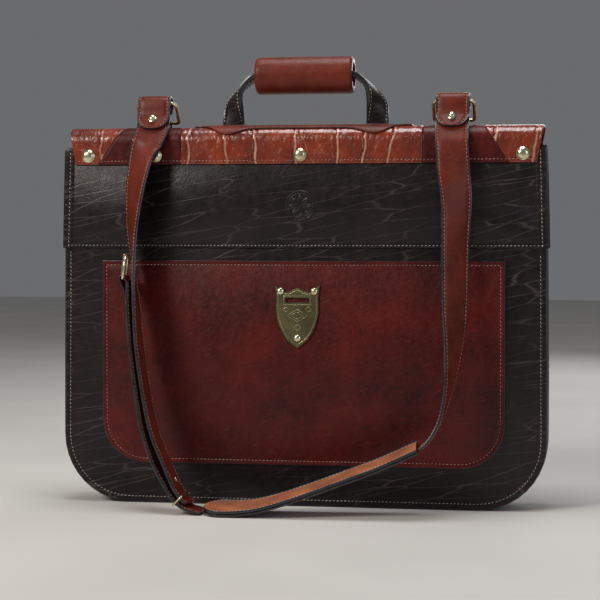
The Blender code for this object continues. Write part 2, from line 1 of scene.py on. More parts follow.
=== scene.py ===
"""Bi-fold leather garment bag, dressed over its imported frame.

Metres, +Z up, -Y out of the badge side. Depths are distances from the plane where the two
halves meet; a piece is modelled about that plane and moved along Y when it is finished.
"""

import math
import random
from functools import partial

import bmesh
import bpy
from mathutils import Matrix, Vector, noise


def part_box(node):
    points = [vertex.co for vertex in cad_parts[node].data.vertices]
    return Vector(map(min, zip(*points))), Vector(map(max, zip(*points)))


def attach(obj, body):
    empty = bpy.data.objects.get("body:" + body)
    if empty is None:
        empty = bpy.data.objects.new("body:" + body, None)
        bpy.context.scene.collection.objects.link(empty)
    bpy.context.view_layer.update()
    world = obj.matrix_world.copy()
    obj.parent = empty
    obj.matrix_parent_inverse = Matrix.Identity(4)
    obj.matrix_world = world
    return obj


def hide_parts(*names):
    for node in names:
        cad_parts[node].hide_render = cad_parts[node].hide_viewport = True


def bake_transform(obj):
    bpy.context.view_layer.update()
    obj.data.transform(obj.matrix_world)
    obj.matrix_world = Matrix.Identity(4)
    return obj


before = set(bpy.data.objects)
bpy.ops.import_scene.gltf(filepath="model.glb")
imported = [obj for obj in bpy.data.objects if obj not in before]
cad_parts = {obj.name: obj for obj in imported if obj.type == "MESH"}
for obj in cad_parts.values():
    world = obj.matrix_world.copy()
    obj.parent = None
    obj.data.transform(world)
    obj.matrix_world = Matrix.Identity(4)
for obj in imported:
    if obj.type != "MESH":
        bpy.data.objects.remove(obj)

bl_info = {
    "name": "Garment Bag",
    "version": (1, 0, 0),
    "blender": (4, 5, 0),
    "location": "View3D > Sidebar > Garment Bag",
    "description": "Dresses the frame of a leather garment bag piece by piece",
    "category": "Object",
}

# Sizes shared with the frame.
HALF_WIDTH = 0.280
TOP_INSET = 0.003
PANEL_TOP = 0.411
PANEL_IN = 0.029
PANEL_OUT = 0.034
CORNER_BOTTOM = 0.078
CORNER_TOP = 0.006
GUSSET_THICK = 0.0025
GAP = 0.0003
YOKE_BOTTOM = 0.295
YOKE_IN = PANEL_OUT + GAP
LEATHER = 0.0017
SKIVED_EDGE = 0.0006
LINING = 0.0013
LINING_SEAM = 0.007
SPLICES = {"left": 0.180, "right": 0.154}

POCKET_HALF_WIDTH = 0.232
POCKET_TOP = 0.281
POCKET_BOTTOM = 0.047
POCKET_CORNER = 0.050
POCKET_STAND = 0.0013
POCKET_RIM = 0.006

SADDLE_THICK = 0.0022
SADDLE_OUT = 0.0385
SADDLE_HEM = 0.391
SHOULDER = 0.017
SHOULDER_Z = 0.417
SADDLE_TOP = SHOULDER_Z + SHOULDER
FLAT_D = SADDLE_OUT - SHOULDER
SADDLE_HALF_HEM = 0.2665
SADDLE_HALF_TOP = 0.2745
SADDLE_SHORT_LEFT = 0.003
FRONT_FLARE = 0.0048
CENTRE_HIDE = 0.139
BAND_TOP = 0.207
BAND_HEM = 0.236
DOME_X = (-0.248, -0.1685, 0.0, 0.1685, 0.251)
DOME_Z = 0.401

HANDLE_BASE_X = 0.084
HANDLE_WIDTH = 0.026
HANDLE_THICK = 0.0075
PATCH_HALF_WIDTH = 0.126
GRIP_Z = 0.494
GRIP_HALF = 0.0565
GRIP_RADIUS = 0.0222
GRIP_BORE = 0.0142

RING_X = 0.172
RING_PIVOT_Z = 0.4405
RING_HALF_WIDTH = 0.023
RING_HEIGHT = 0.029
RING_CORNER = 0.0075
RING_WIRE = 0.002
RING_LEAN = math.radians(40)

STRAP_WIDTH = 0.038
STRAP_THICK = 0.0038
FOLD_RADIUS = 0.0094
FOLD_LEAN = math.radians(34)
FOLD_PULL = 0.0040
STUD_DROP = 0.0225
PAD_WIDTH = 0.056
PAD_THICK = 0.0068
BUCKLE_BAR = Vector((-0.1975, -0.0695, 0.2610))

BADGE_X = -0.003
BADGE_TOP = 0.250
BADGE_TIP = 0.1815
ROSETTE_RADIUS = 0.0178
ROSETTE_Z = 0.3435
WEBBING_WIDTH = 0.030
WEBBING_THICK = 0.0015

BACK_PANEL_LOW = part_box("back_panel")[0]
CENTRING = BACK_PANEL_LOW.y + PANEL_OUT
HALVES = {"back": (-1, "back_half"), "front": (1, "front_half")}

# Every piece adds its seams and rivets here, and they are set in one go at the end.
stitch_lines = {}
rivet_spots = {}


def linear(code):
    """An sRGB hex colour as linear RGBA."""
    channels = [int(code[i:i + 2], 16) / 255 for i in (1, 3, 5)]
    lifted = [c / 12.92 if c <= 0.04045 else ((c + 0.055) / 1.055) ** 2.4 for c in channels]
    return (*lifted, 1.0)


def add(tree, kind, settings=None, **links):
    """Adds a node. Settings are its properties; links are socket values or other sockets."""
    made = tree.nodes.new(kind)
    for key, value in (settings or {}).items():
        setattr(made, key, value)
    for key, value in links.items():
        key = key.replace("_", " ")
        socket = made.inputs[int(key[2:])] if key.startswith("in") and key[2:].isdigit() \
            else made.inputs[key]
        if isinstance(value, bpy.types.NodeSocket):
            tree.links.new(value, socket)
        else:
            socket.default_value = value
    return made


def blank_material(name, **values):
    """A material with one Principled shader whose plain sockets are set directly."""
    material = bpy.data.materials.new(name)
    material.use_nodes = True
    shader = material.node_tree.nodes["Principled BSDF"]
    for key, value in values.items():
        shader.inputs[key.replace("_", " ")].default_value = value
    return material, material.node_tree, shader


def tone(tree, factor, dark, light, low=0.3, high=0.7, most=1.0):
    """A colour between two hexes or sockets, as a factor goes from low to high."""
    spread = add(tree, "ShaderNodeMapRange", in0=factor, in1=low, in2=high, in4=most)
    first, second = (linear(c) if isinstance(c, str) else c for c in (dark, light))
    return add(tree, "ShaderNodeMix", {"data_type": "RGBA"}, in0=spread.outputs[0], in6=first,
               in7=second).outputs[2]


def creases(tree, place, cell, turn, reach):
    """Thin lines between long cells: 1 on a line, 0 at reach of a cell away from it."""
    laid = add(tree, "ShaderNodeMapping", {"vector_type": "TEXTURE"}, Vector=place,
               Rotation=turn, Scale=cell)
    warp = add(tree, "ShaderNodeTexNoise", Vector=laid.outputs[0], Scale=0.9, Detail=3.0,
               Roughness=0.5)
    bent = add(tree, "ShaderNodeVectorMath", {"operation": "MULTIPLY_ADD"},
               in0=warp.outputs["Color"], in1=(0.5, 0.5, 0.5), in2=laid.outputs[0])
    cells = add(tree, "ShaderNodeTexVoronoi", {"feature": "DISTANCE_TO_EDGE"},
                Vector=bent.outputs[0], Scale=1.0)
    return add(tree, "ShaderNodeMapRange", in0=cells.outputs["Distance"], in1=0.0, in2=reach,
               in3=1.0, in4=0.0).outputs[0]


def leather(name, dark, light, crease, roughness, cloud=9.0, cell=(0.100, 0.060, 0.012),
            shown=0.6, relief=0.35, scuff="#8A7468", scuffed=0.12):
    """Vegetable-tanned cowhide: clouded dye, pores, soft waves, pull-up creases and scuffs.

    Pores and creases are drawn a little larger than life, so that they show from a few feet.
    """
    material, tree, shader = blank_material(name, Specular_IOR_Level=0.24)
    place = add(tree, "ShaderNodeTexCoord").outputs["Object"]
    clouds = add(tree, "ShaderNodeTexNoise", Vector=place, Scale=cloud, Detail=7.0,
                 Roughness=0.66).outputs["Fac"]
    fine = add(tree, "ShaderNodeTexNoise", Vector=place, Scale=cloud * 16, Detail=4.0,
               Roughness=0.7).outputs["Fac"]
    dye = tone(tree, clouds, dark, light, 0.34, 0.66)
    mottled = tone(tree, fine, dye, light, 0.45, 0.80, 0.45)
    lines = creases(tree, place, cell, (0.0, math.radians(-11), 0.0), 0.032)
    patch = add(tree, "ShaderNodeTexNoise", Vector=place, Scale=11.0, Detail=3.0).outputs["Fac"]
    kept = add(tree, "ShaderNodeMapRange", in0=patch, in1=0.34, in2=0.60, in3=0.0, in4=shown)
    broken = add(tree, "ShaderNodeMath", {"operation": "MULTIPLY"}, in0=lines,
                 in1=kept.outputs[0]).outputs[0]
    creased = tone(tree, broken, mottled, crease, 0.0, 1.0)
    rubbed = add(tree, "ShaderNodeMapping", {"vector_type": "TEXTURE"}, Vector=place,
                 Rotation=(0.0, math.radians(-25), 0.0), Scale=(0.012, 0.004, 0.0009))
    scratch = add(tree, "ShaderNodeTexNoise", Vector=rubbed.outputs[0], Scale=1.0, Detail=3.0,
                  Roughness=0.7).outputs["Fac"]
    colour = tone(tree, scratch, creased, scuff, 0.60, 0.80, scuffed)
    tree.links.new(colour, shader.inputs["Base Color"])
    rough = add(tree, "ShaderNodeMapRange", in0=fine, in1=0.3, in2=0.7, in3=roughness - 0.07,
                in4=roughness + 0.09)
    tree.links.new(rough.outputs[0], shader.inputs["Roughness"])
    pores = add(tree, "ShaderNodeTexVoronoi", Vector=place, Scale=700.0).outputs["Distance"]
    waves = add(tree, "ShaderNodeTexNoise", Vector=place, Scale=22.0, Detail=4.0,
                Roughness=0.6).outputs["Fac"]
    slow = add(tree, "ShaderNodeBump", Strength=relief, Distance=0.004, Height=waves)
    lined = add(tree, "ShaderNodeBump", {"invert": True}, Strength=0.5, Distance=0.0006,
                Height=broken, Normal=slow.outputs[0])
    pored = add(tree, "ShaderNodeBump", Strength=0.3, Distance=0.0003, Height=pores,
                Normal=lined.outputs[0])
    tree.links.new(pored.outputs[0], shader.inputs["Normal"])
    return material


def burnished_edge(name, dark, light):
    """Painted and burnished leather edge: glossy, slightly uneven from the bone folder."""
    material, tree, shader = blank_material(name, Coat_Weight=0.3, Coat_Roughness=0.2)
    place = add(tree, "ShaderNodeTexCoord").outputs["Object"]
    wavy = add(tree, "ShaderNodeTexNoise", Vector=place, Scale=120.0, Detail=4.0).outputs["Fac"]
    tree.links.new(tone(tree, wavy, dark, light), shader.inputs["Base Color"])
    rough = add(tree, "ShaderNodeMapRange", in0=wavy, in1=0.3, in2=0.7, in3=0.28, in4=0.46)
    tree.links.new(rough.outputs[0], shader.inputs["Roughness"])
    bump = add(tree, "ShaderNodeBump", Strength=0.3, Distance=0.0006, Height=wavy)
    tree.links.new(bump.outputs[0], shader.inputs["Normal"])
    return material


def alligator(name, dark, light, ridge_highlight, groove):
    """Glazed alligator belly, glossy, with painted shade darkening the scale grooves and a painted
    highlight making their lips paler.
    """
    material, tree, shader = blank_material(name, Coat_Weight=0.55, Coat_Roughness=0.10,
                                            Specular_IOR_Level=0.5)
    place = add(tree, "ShaderNodeTexCoord").outputs["Object"]
    clouds = add(tree, "ShaderNodeTexNoise", Vector=place, Scale=26.0, Detail=6.0,
                 Roughness=0.62).outputs["Fac"]
    # Per-point painted light and shade of the scales, set where the hide is built.
    scale_tone = add(tree, "ShaderNodeAttribute", {"attribute_name": "scale_tone"}).outputs["Fac"]
    dye = tone(tree, clouds, dark, light, 0.32, 0.68)
    drawn = add(tree, "ShaderNodeMapping", {"vector_type": "TEXTURE"}, Vector=place,
                Rotation=(0.0, math.radians(8), 0.0), Scale=(0.007, 0.014, 0.014))
    folds = add(tree, "ShaderNodeTexNoise", Vector=drawn.outputs[0], Scale=1.0, Detail=4.0,
                Roughness=0.65, Distortion=0.6).outputs["Fac"]
    # Fold crests lighten towards the pale highlight colour: partly wear, partly painted sheen.
    worn = tone(tree, folds, dye, ridge_highlight, 0.62, 0.80, 0.25)
    # Painted highlight: the lips of the scales are painted towards the pale highlight colour.
    lit = tone(tree, scale_tone, worn, ridge_highlight, 0.58, 0.90, 0.75)
    # Painted shade: the scale grooves are painted towards the near-black colour.
    sunk = tone(tree, scale_tone, lit, groove, 0.45, 0.0, 0.9)
    tree.links.new(sunk, shader.inputs["Base Color"])
    rough = add(tree, "ShaderNodeMapRange", in0=folds, in1=0.35, in2=0.7, in3=0.20, in4=0.38)
    tree.links.new(rough.outputs[0], shader.inputs["Roughness"])
    bumped = add(tree, "ShaderNodeBump", Strength=0.8, Distance=0.0016, Height=folds)
    tree.links.new(bumped.outputs[0], shader.inputs["Normal"])
    return material


def napped_suede(name, dark, light):
    """Suede split: no gloss, a short nap, and streaks with a painted sheen, lighter where the nap
    would face the light.
    """
    material, tree, shader = blank_material(name, Sheen_Weight=0.12, Sheen_Roughness=0.5,
                                            Specular_IOR_Level=0.15, Roughness=0.92)
    place = add(tree, "ShaderNodeTexCoord").outputs["Object"]
    nap = add(tree, "ShaderNodeTexNoise", Vector=place, Scale=260.0, Detail=6.0,
              Roughness=0.75).outputs["Fac"]
    streaks = add(tree, "ShaderNodeTexNoise", Vector=place, Scale=38.0, Detail=3.0).outputs["Fac"]
    # Painted sheen: the streaks are painted lighter, as if their nap faced the light.
    nap_sheen_streaks = tone(tree, streaks, dark, light, 0.36, 0.64)
    tree.links.new(tone(tree, nap, nap_sheen_streaks, light, 0.42, 0.70, 0.6), shader.inputs["Base Color"])
    bump = add(tree, "ShaderNodeBump", Strength=0.6, Distance=0.0008, Height=nap)
    tree.links.new(bump.outputs[0], shader.inputs["Normal"])
    return material


def metal(name, dark, light, roughness, pits=0.15, scale=55.0):
    """Cast or drawn metal: polished on the high spots, duller where hands don't reach."""
    material, tree, shader = blank_material(name, Metallic=1.0)
    place = add(tree, "ShaderNodeTexCoord").outputs["Object"]
    cloud = add(tree, "ShaderNodeTexNoise", Vector=place, Scale=scale, Detail=5.0,
                Roughness=0.65).outputs["Fac"]
    tree.links.new(tone(tree, cloud, dark, light, 0.35, 0.62), shader.inputs["Base Color"])
    rough = add(tree, "ShaderNodeMapRange", in0=cloud, in1=0.3, in2=0.7, in3=roughness + 0.12,
                in4=roughness)
    tree.links.new(rough.outputs[0], shader.inputs["Roughness"])
    fine = add(tree, "ShaderNodeTexNoise", Vector=place, Scale=scale * 12, Detail=3.0)
    bump = add(tree, "ShaderNodeBump", Strength=pits, Distance=0.0003,
               Height=fine.outputs["Fac"])
    tree.links.new(bump.outputs[0], shader.inputs["Normal"])
    return material


def woven(name, warp_colour, weft_colour, pitch):
    """Plain-woven cotton, its threads drawn at a little over their real spacing."""
    material, tree, shader = blank_material(name, Sheen_Weight=0.15, Specular_IOR_Level=0.2,
                                            Roughness=0.85)
    place = add(tree, "ShaderNodeTexCoord").outputs["Object"]
    parts = add(tree, "ShaderNodeSeparateXYZ", in0=place)
    turns = []
    for axis in (0, 2):
        turn = add(tree, "ShaderNodeMath", {"operation": "MULTIPLY"}, in0=parts.outputs[axis],
                   in1=2 * math.pi / pitch)
        turns.append(add(tree, "ShaderNodeMath", {"operation": "SINE"}, in0=turn.outputs[0]))
    weave = add(tree, "ShaderNodeMath", {"operation": "MULTIPLY"}, in0=turns[0].outputs[0],
                in1=turns[1].outputs[0]).outputs[0]
    tree.links.new(tone(tree, weave, warp_colour, weft_colour, -0.6, 0.6),
                   shader.inputs["Base Color"])
    bump = add(tree, "ShaderNodeBump", Strength=0.5, Distance=0.0004, Height=weave)
    tree.links.new(bump.outputs[0], shader.inputs["Normal"])
    return material


def grained_wood(name, dark, light, roughness, gloss):
    """Turned or sawn timber, its grain running along X."""
    material, tree, shader = blank_material(name, Coat_Weight=gloss, Coat_Roughness=0.15,
                                            Roughness=roughness)
    place = add(tree, "ShaderNodeTexCoord").outputs["Object"]
    stretched = add(tree, "ShaderNodeMapping", Vector=place, Scale=(4.0, 60.0, 60.0))
    rings = add(tree, "ShaderNodeTexNoise", Vector=stretched.outputs[0], Scale=3.0, Detail=5.0,
                Distortion=0.4).outputs["Fac"]
    tree.links.new(tone(tree, rings, dark, light, 0.35, 0.65), shader.inputs["Base Color"])
    bump = add(tree, "ShaderNodeBump", Strength=0.15, Distance=0.0004, Height=rings)
    tree.links.new(bump.outputs[0], shader.inputs["Normal"])
    return material


def waxed_thread(name, dark, light):
    """Waxed linen thread, a little soiled."""
    material, tree, shader = blank_material(name, Specular_IOR_Level=0.35, Roughness=0.6)
    place = add(tree, "ShaderNodeTexCoord").outputs["Object"]
    soil = add(tree, "ShaderNodeTexNoise", Vector=place, Scale=70.0, Detail=3.0).outputs["Fac"]
    tree.links.new(tone(tree, soil, dark, light, 0.36, 0.64), shader.inputs["Base Color"])
    return material


FINISHES = {}


def make_finishes():
    """Every finish of the bag, under the name that the pieces ask for."""
    look = bpy.context.scene.garment_bag_colours
    made = {
        "hide": leather("near_black_glazed_cowhide", look.hide_dark, look.hide_light, "#6A625E",
                        0.34, cloud=7.0, shown=0.38, relief=0.30, scuff="#6A625E"),
        "rubbed": leather("rubbed_black_cowhide", "#2E2A2C", "#4A4444", "#6A625E", 0.26,
                          shown=0.2, relief=0.1),
        "pocket": leather("dark_chestnut_glazed_cowhide", look.pocket_dark, look.pocket_light,
                          "#8A4A3A", 0.38, cloud=12.0, cell=(0.04, 0.04, 0.05), shown=0.07,
                          relief=0.30, scuff="#9A5C4C", scuffed=0.35),
        "strap": leather("chestnut_strap_cowhide", look.strap_dark, look.strap_light, "#9A6450",
                         0.40, cloud=22.0, cell=(0.03, 0.03, 0.02), shown=0.07, relief=0.15),
        # Its last two colours are a painted highlight for the scale lips and painted shade for the
        # grooves.
        "alligator": alligator("glazed_alligator_hide", look.scale_dark, look.scale_light,
                               "#D2A084", "#1C0805"),
        "edge": burnished_edge("painted_leather_edge", "#0D1215", "#1C242A"),
        "suede": napped_suede("tan_suede_split", look.suede_dark, look.suede_light),
        "brass": metal("polished_pale_brass", "#C4BC92", "#EAE4C4", 0.20),
        "aged": metal("antiqued_cast_brass", "#55523C", "#6E6A4C", 0.40, pits=0.2, scale=35.0),
        "worn": metal("worn_raised_brass", "#8E8A66", "#B4AE86", 0.28),
        "steel": metal("nickel_plated_steel", "#8C8C8E", "#B4B4B6", 0.22),
        "cloth": woven("woven_cotton_lining", "#5C4634", "#7C6248", 0.0016),
        "webbing": woven("woven_cotton_webbing", "#3A2E26", "#57463A", 0.0024),
        "board": grained_wood("grey_stiffening_board", "#6E6452", "#8A7F6A", 0.8, 0.0),
        "wood": grained_wood("varnished_beech", "#7A4622", "#A86A38", 0.35, 0.5),
        "thread": waxed_thread("waxed_linen_thread", "#8E877C", "#CCC6BA"),
        "rosy_thread": waxed_thread("waxed_natural_thread", "#8A6254", "#C09C8E"),
        "brown_thread": waxed_thread("waxed_brown_thread", "#5A3226", "#946450"),
        "dark_thread": waxed_thread("waxed_dark_thread", "#141012", "#2C2424"),
    }
    FINISHES.update(made)


def finish_mesh(name, shape, finishes, smooth=40):
    """Turns a bmesh about the meeting plane into a finished object in the frame's place."""
    bmesh.ops.recalc_face_normals(shape, faces=shape.faces)
    mesh = bpy.data.meshes.new(name)
    shape.to_mesh(mesh)
    shape.free()
    mesh.transform(Matrix.Translation((0, CENTRING, 0)))
    piece = bpy.data.objects.new(name, mesh)
    bpy.context.scene.collection.objects.link(piece)
    for finish in finishes:
        mesh.materials.append(FINISHES[finish])
    if smooth:
        mesh.shade_smooth()
        mesh.set_sharp_from_angle(angle=math.radians(smooth))
    return piece


def place_on(piece, body, slot, *nodes):
    """Rides the piece on its body and lets it stand for the frame's own nodes."""
    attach(piece, body)
    if nodes:
        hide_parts(*nodes)
    return piece


def keep_node(node, finish):
    """A frame node whose shape is already right gets the real finish."""
    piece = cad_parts[node]
    piece.data.materials.clear()
    piece.data.materials.append(FINISHES[finish])


def add_stitches(body, points, normals, closed=False, thread="thread"):
    """Remembers one sewn line, in the frame's place, for the stitching step."""
    moved = [Vector(p) + Vector((0, CENTRING, 0)) for p in points]
    stitch_lines.setdefault((body, thread), []).append((moved, [Vector(n) for n in normals], closed))


def add_rivets(kind, body, spots):
    """Remembers rivets or studs as (place, facing) pairs for the rivet step."""
    moved = [(Vector(p) + Vector((0, CENTRING, 0)), Vector(n)) for p, n in spots]
    rivet_spots.setdefault((kind, body), []).extend(moved)


def arc(centre, radius, start, end, steps=8):
    """Points of an arc between two angles in degrees."""
    turns = [math.radians(start + (end - start) * i / steps) for i in range(steps + 1)]
    return [(centre[0] + radius * math.cos(t), centre[1] + radius * math.sin(t)) for t in turns]


def rounded(corners, inset=0.0):
    """A convex outline in X and Z from (x, z, radius) corners, moved inwards by inset.

    Every inset gives the same number of points, so the outlines can be skinned together.
    """
    steps, spacing = 10, 0.010
    spread = [Vector((x, z)) for x, z, _ in (corners(0.0) if callable(corners) else corners)]
    corners = corners(inset) if callable(corners) else corners
    spots = [Vector((x, z)) for x, z, _ in corners]
    count = len(spots)
    area = sum(a.x * b.y - b.x * a.y for a, b in zip(spots, spots[1:] + spots[:1]))
    hand = 1 if area > 0 else -1
    lines = []
    for i in range(count):
        along = (spots[(i + 1) % count] - spots[i]).normalized()
        inwards = Vector((-along.y, along.x)) * hand
        lines.append((spots[i] + inwards * inset, along))
    tips = []
    for i in range(count):
        (a, u), (b, v) = lines[i - 1], lines[i]
        reach = ((b.x - a.x) * v.y - (b.y - a.y) * v.x) / (u.x * v.y - u.y * v.x)
        tips.append(a + u * reach)
    arcs = []
    for i, tip in enumerate(tips):
        radius = max(corners[i][2] - inset, 0.0002)
        before, after = lines[i - 1][1], lines[i][1]
        half = before.angle(after) / 2
        run = radius * math.tan(half)
        first, last = tip - before * run, tip + after * run
        bend = []
        for k in range(steps + 1):
            t = k / steps
            turned = Vector((
                before.x * math.cos(2 * half * t) - hand * before.y * math.sin(2 * half * t),
                before.y * math.cos(2 * half * t) + hand * before.x * math.sin(2 * half * t)))
            side = Vector((before.y, -before.x)) * hand
            out = Vector((turned.y, -turned.x)) * hand
            bend.append(first + (out - side) * radius)
        bend[-1] = last
        arcs.append(bend)
    outline = []
    for i in range(count):
        outline += arcs[i]
        gap = (spread[(i + 1) % count] - spread[i]).length - corners[i][2]
        pieces = max(2, int(gap / spacing))
        start, end = arcs[i][-1], arcs[(i + 1) % count][0]
        outline += [start.lerp(end, k / pieces) for k in range(1, pieces)]
    return outline


def uneven(point, amount=0.0004):
    """A hand-cut edge wanders a little."""
    spot = Vector((point[0] * 9, point[1] * 9, 0.7))
    return (point[0] + amount * noise.noise(spot),
            point[1] + amount * noise.noise(spot + Vector((5, 9, 2))))


def channel(thick, inset, sink=0.00035, half=0.0007):
    """Rings that press a narrow channel into a hide's face, inset from its edge."""
    return [(inset - half, thick), (inset, thick - sink), (inset + half, thick)]


def hide_rings(thick, edge, groove):
    """Insets and depths of a cut hide's outlines, from its back cap to its front cap."""
    bend = min(edge, thick * 0.45)
    return [(bend, 0.0), (bend * 0.3, bend * 0.3), (0.0, bend), (0.0, thick - bend),
            (bend * 0.3, thick - bend * 0.3), (bend, thick)] + channel(thick, groove)


def cut_hide(name, corners, near, side, rings, finishes=("hide", "edge"), painted=5,
             wander=0.0004):
    """A flat hide cut to an outline in X and Z, its rim rounded and its channels pressed in."""
    shape = bmesh.new()
    loops = []
    for inset, depth in rings:
        y = side * (near + depth)
        outline = [uneven(point, wander) for point in rounded(corners, inset)]
        loops.append([shape.verts.new((x, y, z)) for x, z in outline])
    count = len(loops[0])
    for level, (first, second) in enumerate(zip(loops, loops[1:])):
        for i in range(count):
            j = (i + 1) % count
            face = shape.faces.new((first[i], first[j], second[j], second[i]))
            face.material_index = 1 if level < painted else 0
    shape.faces.new(loops[0])
    shape.faces.new(list(reversed(loops[-1])))
    return finish_mesh(name, shape, finishes)


def sewn_outline(body, corners, inset, y, side, thread="thread"):
    """A closed line of stitches all round a cut hide."""
    points = [(x, y, z) for x, z in (uneven(point) for point in rounded(corners, inset))]
    add_stitches(body, points, [(0, side, 0)] * len(points), closed=True, thread=thread)


def sewn_run(body, points, normal, thread="thread"):
    """A line of stitches on a flat face."""
    add_stitches(body, points, [normal] * len(points), thread=thread)


def smooth_route(knots, spans):
    """Points of a Catmull-Rom curve through the knots, which may have any number of values."""
    ends = [knots[0]] + list(knots) + [knots[-1]]
    points = []
    for a, b, c, d in zip(ends, ends[1:], ends[2:], ends[3:]):
        for i in range(spans):
            t = i / spans
            points.append(tuple(
                0.5 * (2 * q + (r - p) * t + (2 * p - 5 * q + 4 * r - s) * t**2
                       + (3 * q - p - 3 * r + s) * t**3)
                for p, q, r, s in zip(a, b, c, d)))
    points.append(tuple(knots[-1]))
    return points


def lengths_along(points):
    """How far along the route each of its points is."""
    total, runs = 0.0, [0.0]
    for a, b in zip(points, points[1:]):
        total += (Vector(b[:3]) - Vector(a[:3])).length
        runs.append(total)
    return runs


def respaced(route, step, tips=()):
    """The route at an even step, closer together near a rounded tip of the given radius."""
    runs = lengths_along(route)
    total = runs[-1]
    count = max(2, round(total / step))
    wanted = [total * i / count for i in range(count + 1)]
    for end, radius in tips:
        for share in (0.015, 0.05, 0.11, 0.19, 0.29, 0.41, 0.55, 0.7, 0.85):
            wanted.append(radius * share if end == 0 else total - radius * share)
    wanted.sort()
    kept = [wanted[0]] + [b for a, b in zip(wanted, wanted[1:]) if b - a > step * 0.02]
    points, k = [], 0
    for run in kept:
        while k < len(runs) - 2 and runs[k + 1] < run:
            k += 1
        share = (run - runs[k]) / max(runs[k + 1] - runs[k], 1e-9)
        points.append(tuple(p + (q - p) * share for p, q in zip(route[k], route[k + 1])))
    return points, kept, total


def turned_frames(route, hand):
    """(centre, across, out) along a strap of (x, y, z, turn) points, as the frame has them."""
    centres = [Vector(point[:3]) for point in route]
    made = []
    for i, (centre, point) in enumerate(zip(centres, route)):
        along = (centres[min(i + 1, len(centres) - 1)] - centres[max(i - 1, 0)]).normalized()
        turn = math.radians(point[3])
        across = Vector((math.cos(turn), -hand * math.sin(turn), 0))
        across = (across - along * across.dot(along)).normalized()
        made.append((centre, across, along.cross(across)))
    return made


def strap_section(half, thick, groove, crown):
    """Points (across, out, kind) round a strap: kind 0 is its outer face, 1 its edge, 2 its back."""
    deep = thick / 2
    bend = min(deep * 0.75, half * 0.3)
    low = deep - crown
    face = [(half - bend, low - 0.0002)]
    if groove:
        face += [(half - groove + 0.0007, low - 0.0001), (half - groove, low - 0.0004),
                 (half - groove - 0.0007, low)]
    face += [(half * 0.55, low + crown * 0.7), (half * 0.2, deep)]
    rim = [(half - bend * 0.30, deep - bend * 0.32), (half, deep - bend * 0.95)]
    outer = [(-w, d) for w, d in face] + [(w, d) for w, d in reversed(face)]
    right = rim + [(w, -d) for w, d in reversed(rim)]
    points = [(w, d, 0) for w, d in outer]
    points[-1] = (*points[-1][:2], 1)
    points += [(w, d, 1) for w, d in right]
    back = [(w, -d, 2) for w, d in reversed(outer)]
    back[-1] = (*back[-1][:2], 1)
    points += back
    points += [(-w, -d, 1) for w, d in right]
    return points


def half_width(run, total, width, tips):
    """Half the strap's width at one place, less where a round tip of the given radius ends it."""
    half = width / 2
    for end, radius in tips:
        left = run if end == 0 else total - run
        if left < radius:
            half = width / 2 - radius + math.sqrt(max(radius**2 - (radius - left)**2, 1e-9))
    return half


def band(name, frames, runs, total, width, thick, finishes, groove=0.0033, crown=0.0003,
         tips=()):
    """A strap, welt or gusset skinned along its frames, its edges rounded and painted."""
    shape = bmesh.new()
    loops, kinds = [], []
    for (centre, across, out), run in zip(frames, runs):
        section = strap_section(width / 2, thick, groove, crown)
        squeeze = max(half_width(run, total, width, tips), 0.0004) / (width / 2)
        loops.append([shape.verts.new(centre + across * w * squeeze + out * d)
                      for w, d, _ in section])
        kinds = [kind for _, _, kind in section]
    count = len(loops[0])
    for first, second in zip(loops, loops[1:]):
        for i in range(count):
            j = (i + 1) % count
            face = shape.faces.new((first[i], first[j], second[j], second[i]))
            face.material_index = kinds[i]
    for cap in (loops[0], list(reversed(loops[-1]))):
        shape.faces.new(cap).material_index = 1
    return finish_mesh(name, shape, finishes, smooth=50)


def sew_band(body, frames, runs, total, width, thick, inset=0.0033, faces=(1, -1), tips=(),
             thread="thread"):
    """Stitches along both edges of a strap, on the faces asked for."""
    ends = 0.004
    for side in (-1, 1):
        for face in faces:
            points, normals = [], []
            for (centre, across, out), run in zip(frames, runs):
                half = half_width(run, total, width, tips)
                if run < ends or run > total - ends or half < inset + 0.001:
                    continue
                points.append(centre + across * side * (half - inset)
                              + out * face * (thick / 2 - 0.0003))
                normals.append(out * face)
            add_stitches(body, points, normals, thread=thread)


def wire(name, points, radius, finish, closed=False, tapers=None):
    """Drawn wire bent through the points."""
    curve = bpy.data.curves.new(name, "CURVE")
    curve.dimensions = "3D"
    curve.bevel_depth = radius
    curve.bevel_resolution = 5
    curve.use_fill_caps = not closed
    spline = curve.splines.new("POLY")
    spline.points.add(len(points) - 1)
    for i, point in enumerate(points):
        spline.points[i].co = (*point, 1.0)
        spline.points[i].radius = tapers[i] if tapers else 1.0
    spline.use_cyclic_u = closed
    bent = bpy.data.objects.new(name, curve)
    bpy.context.scene.collection.objects.link(bent)
    bpy.context.view_layer.update()
    mesh = bpy.data.meshes.new_from_object(
        bent.evaluated_get(bpy.context.evaluated_depsgraph_get()))
    bpy.data.objects.remove(bent)
    shape = bmesh.new()
    shape.from_mesh(mesh)
    bpy.data.meshes.remove(mesh)
    bmesh.ops.remove_doubles(shape, verts=shape.verts, dist=1e-6)
    return finish_mesh(name, shape, [finish], smooth=60)


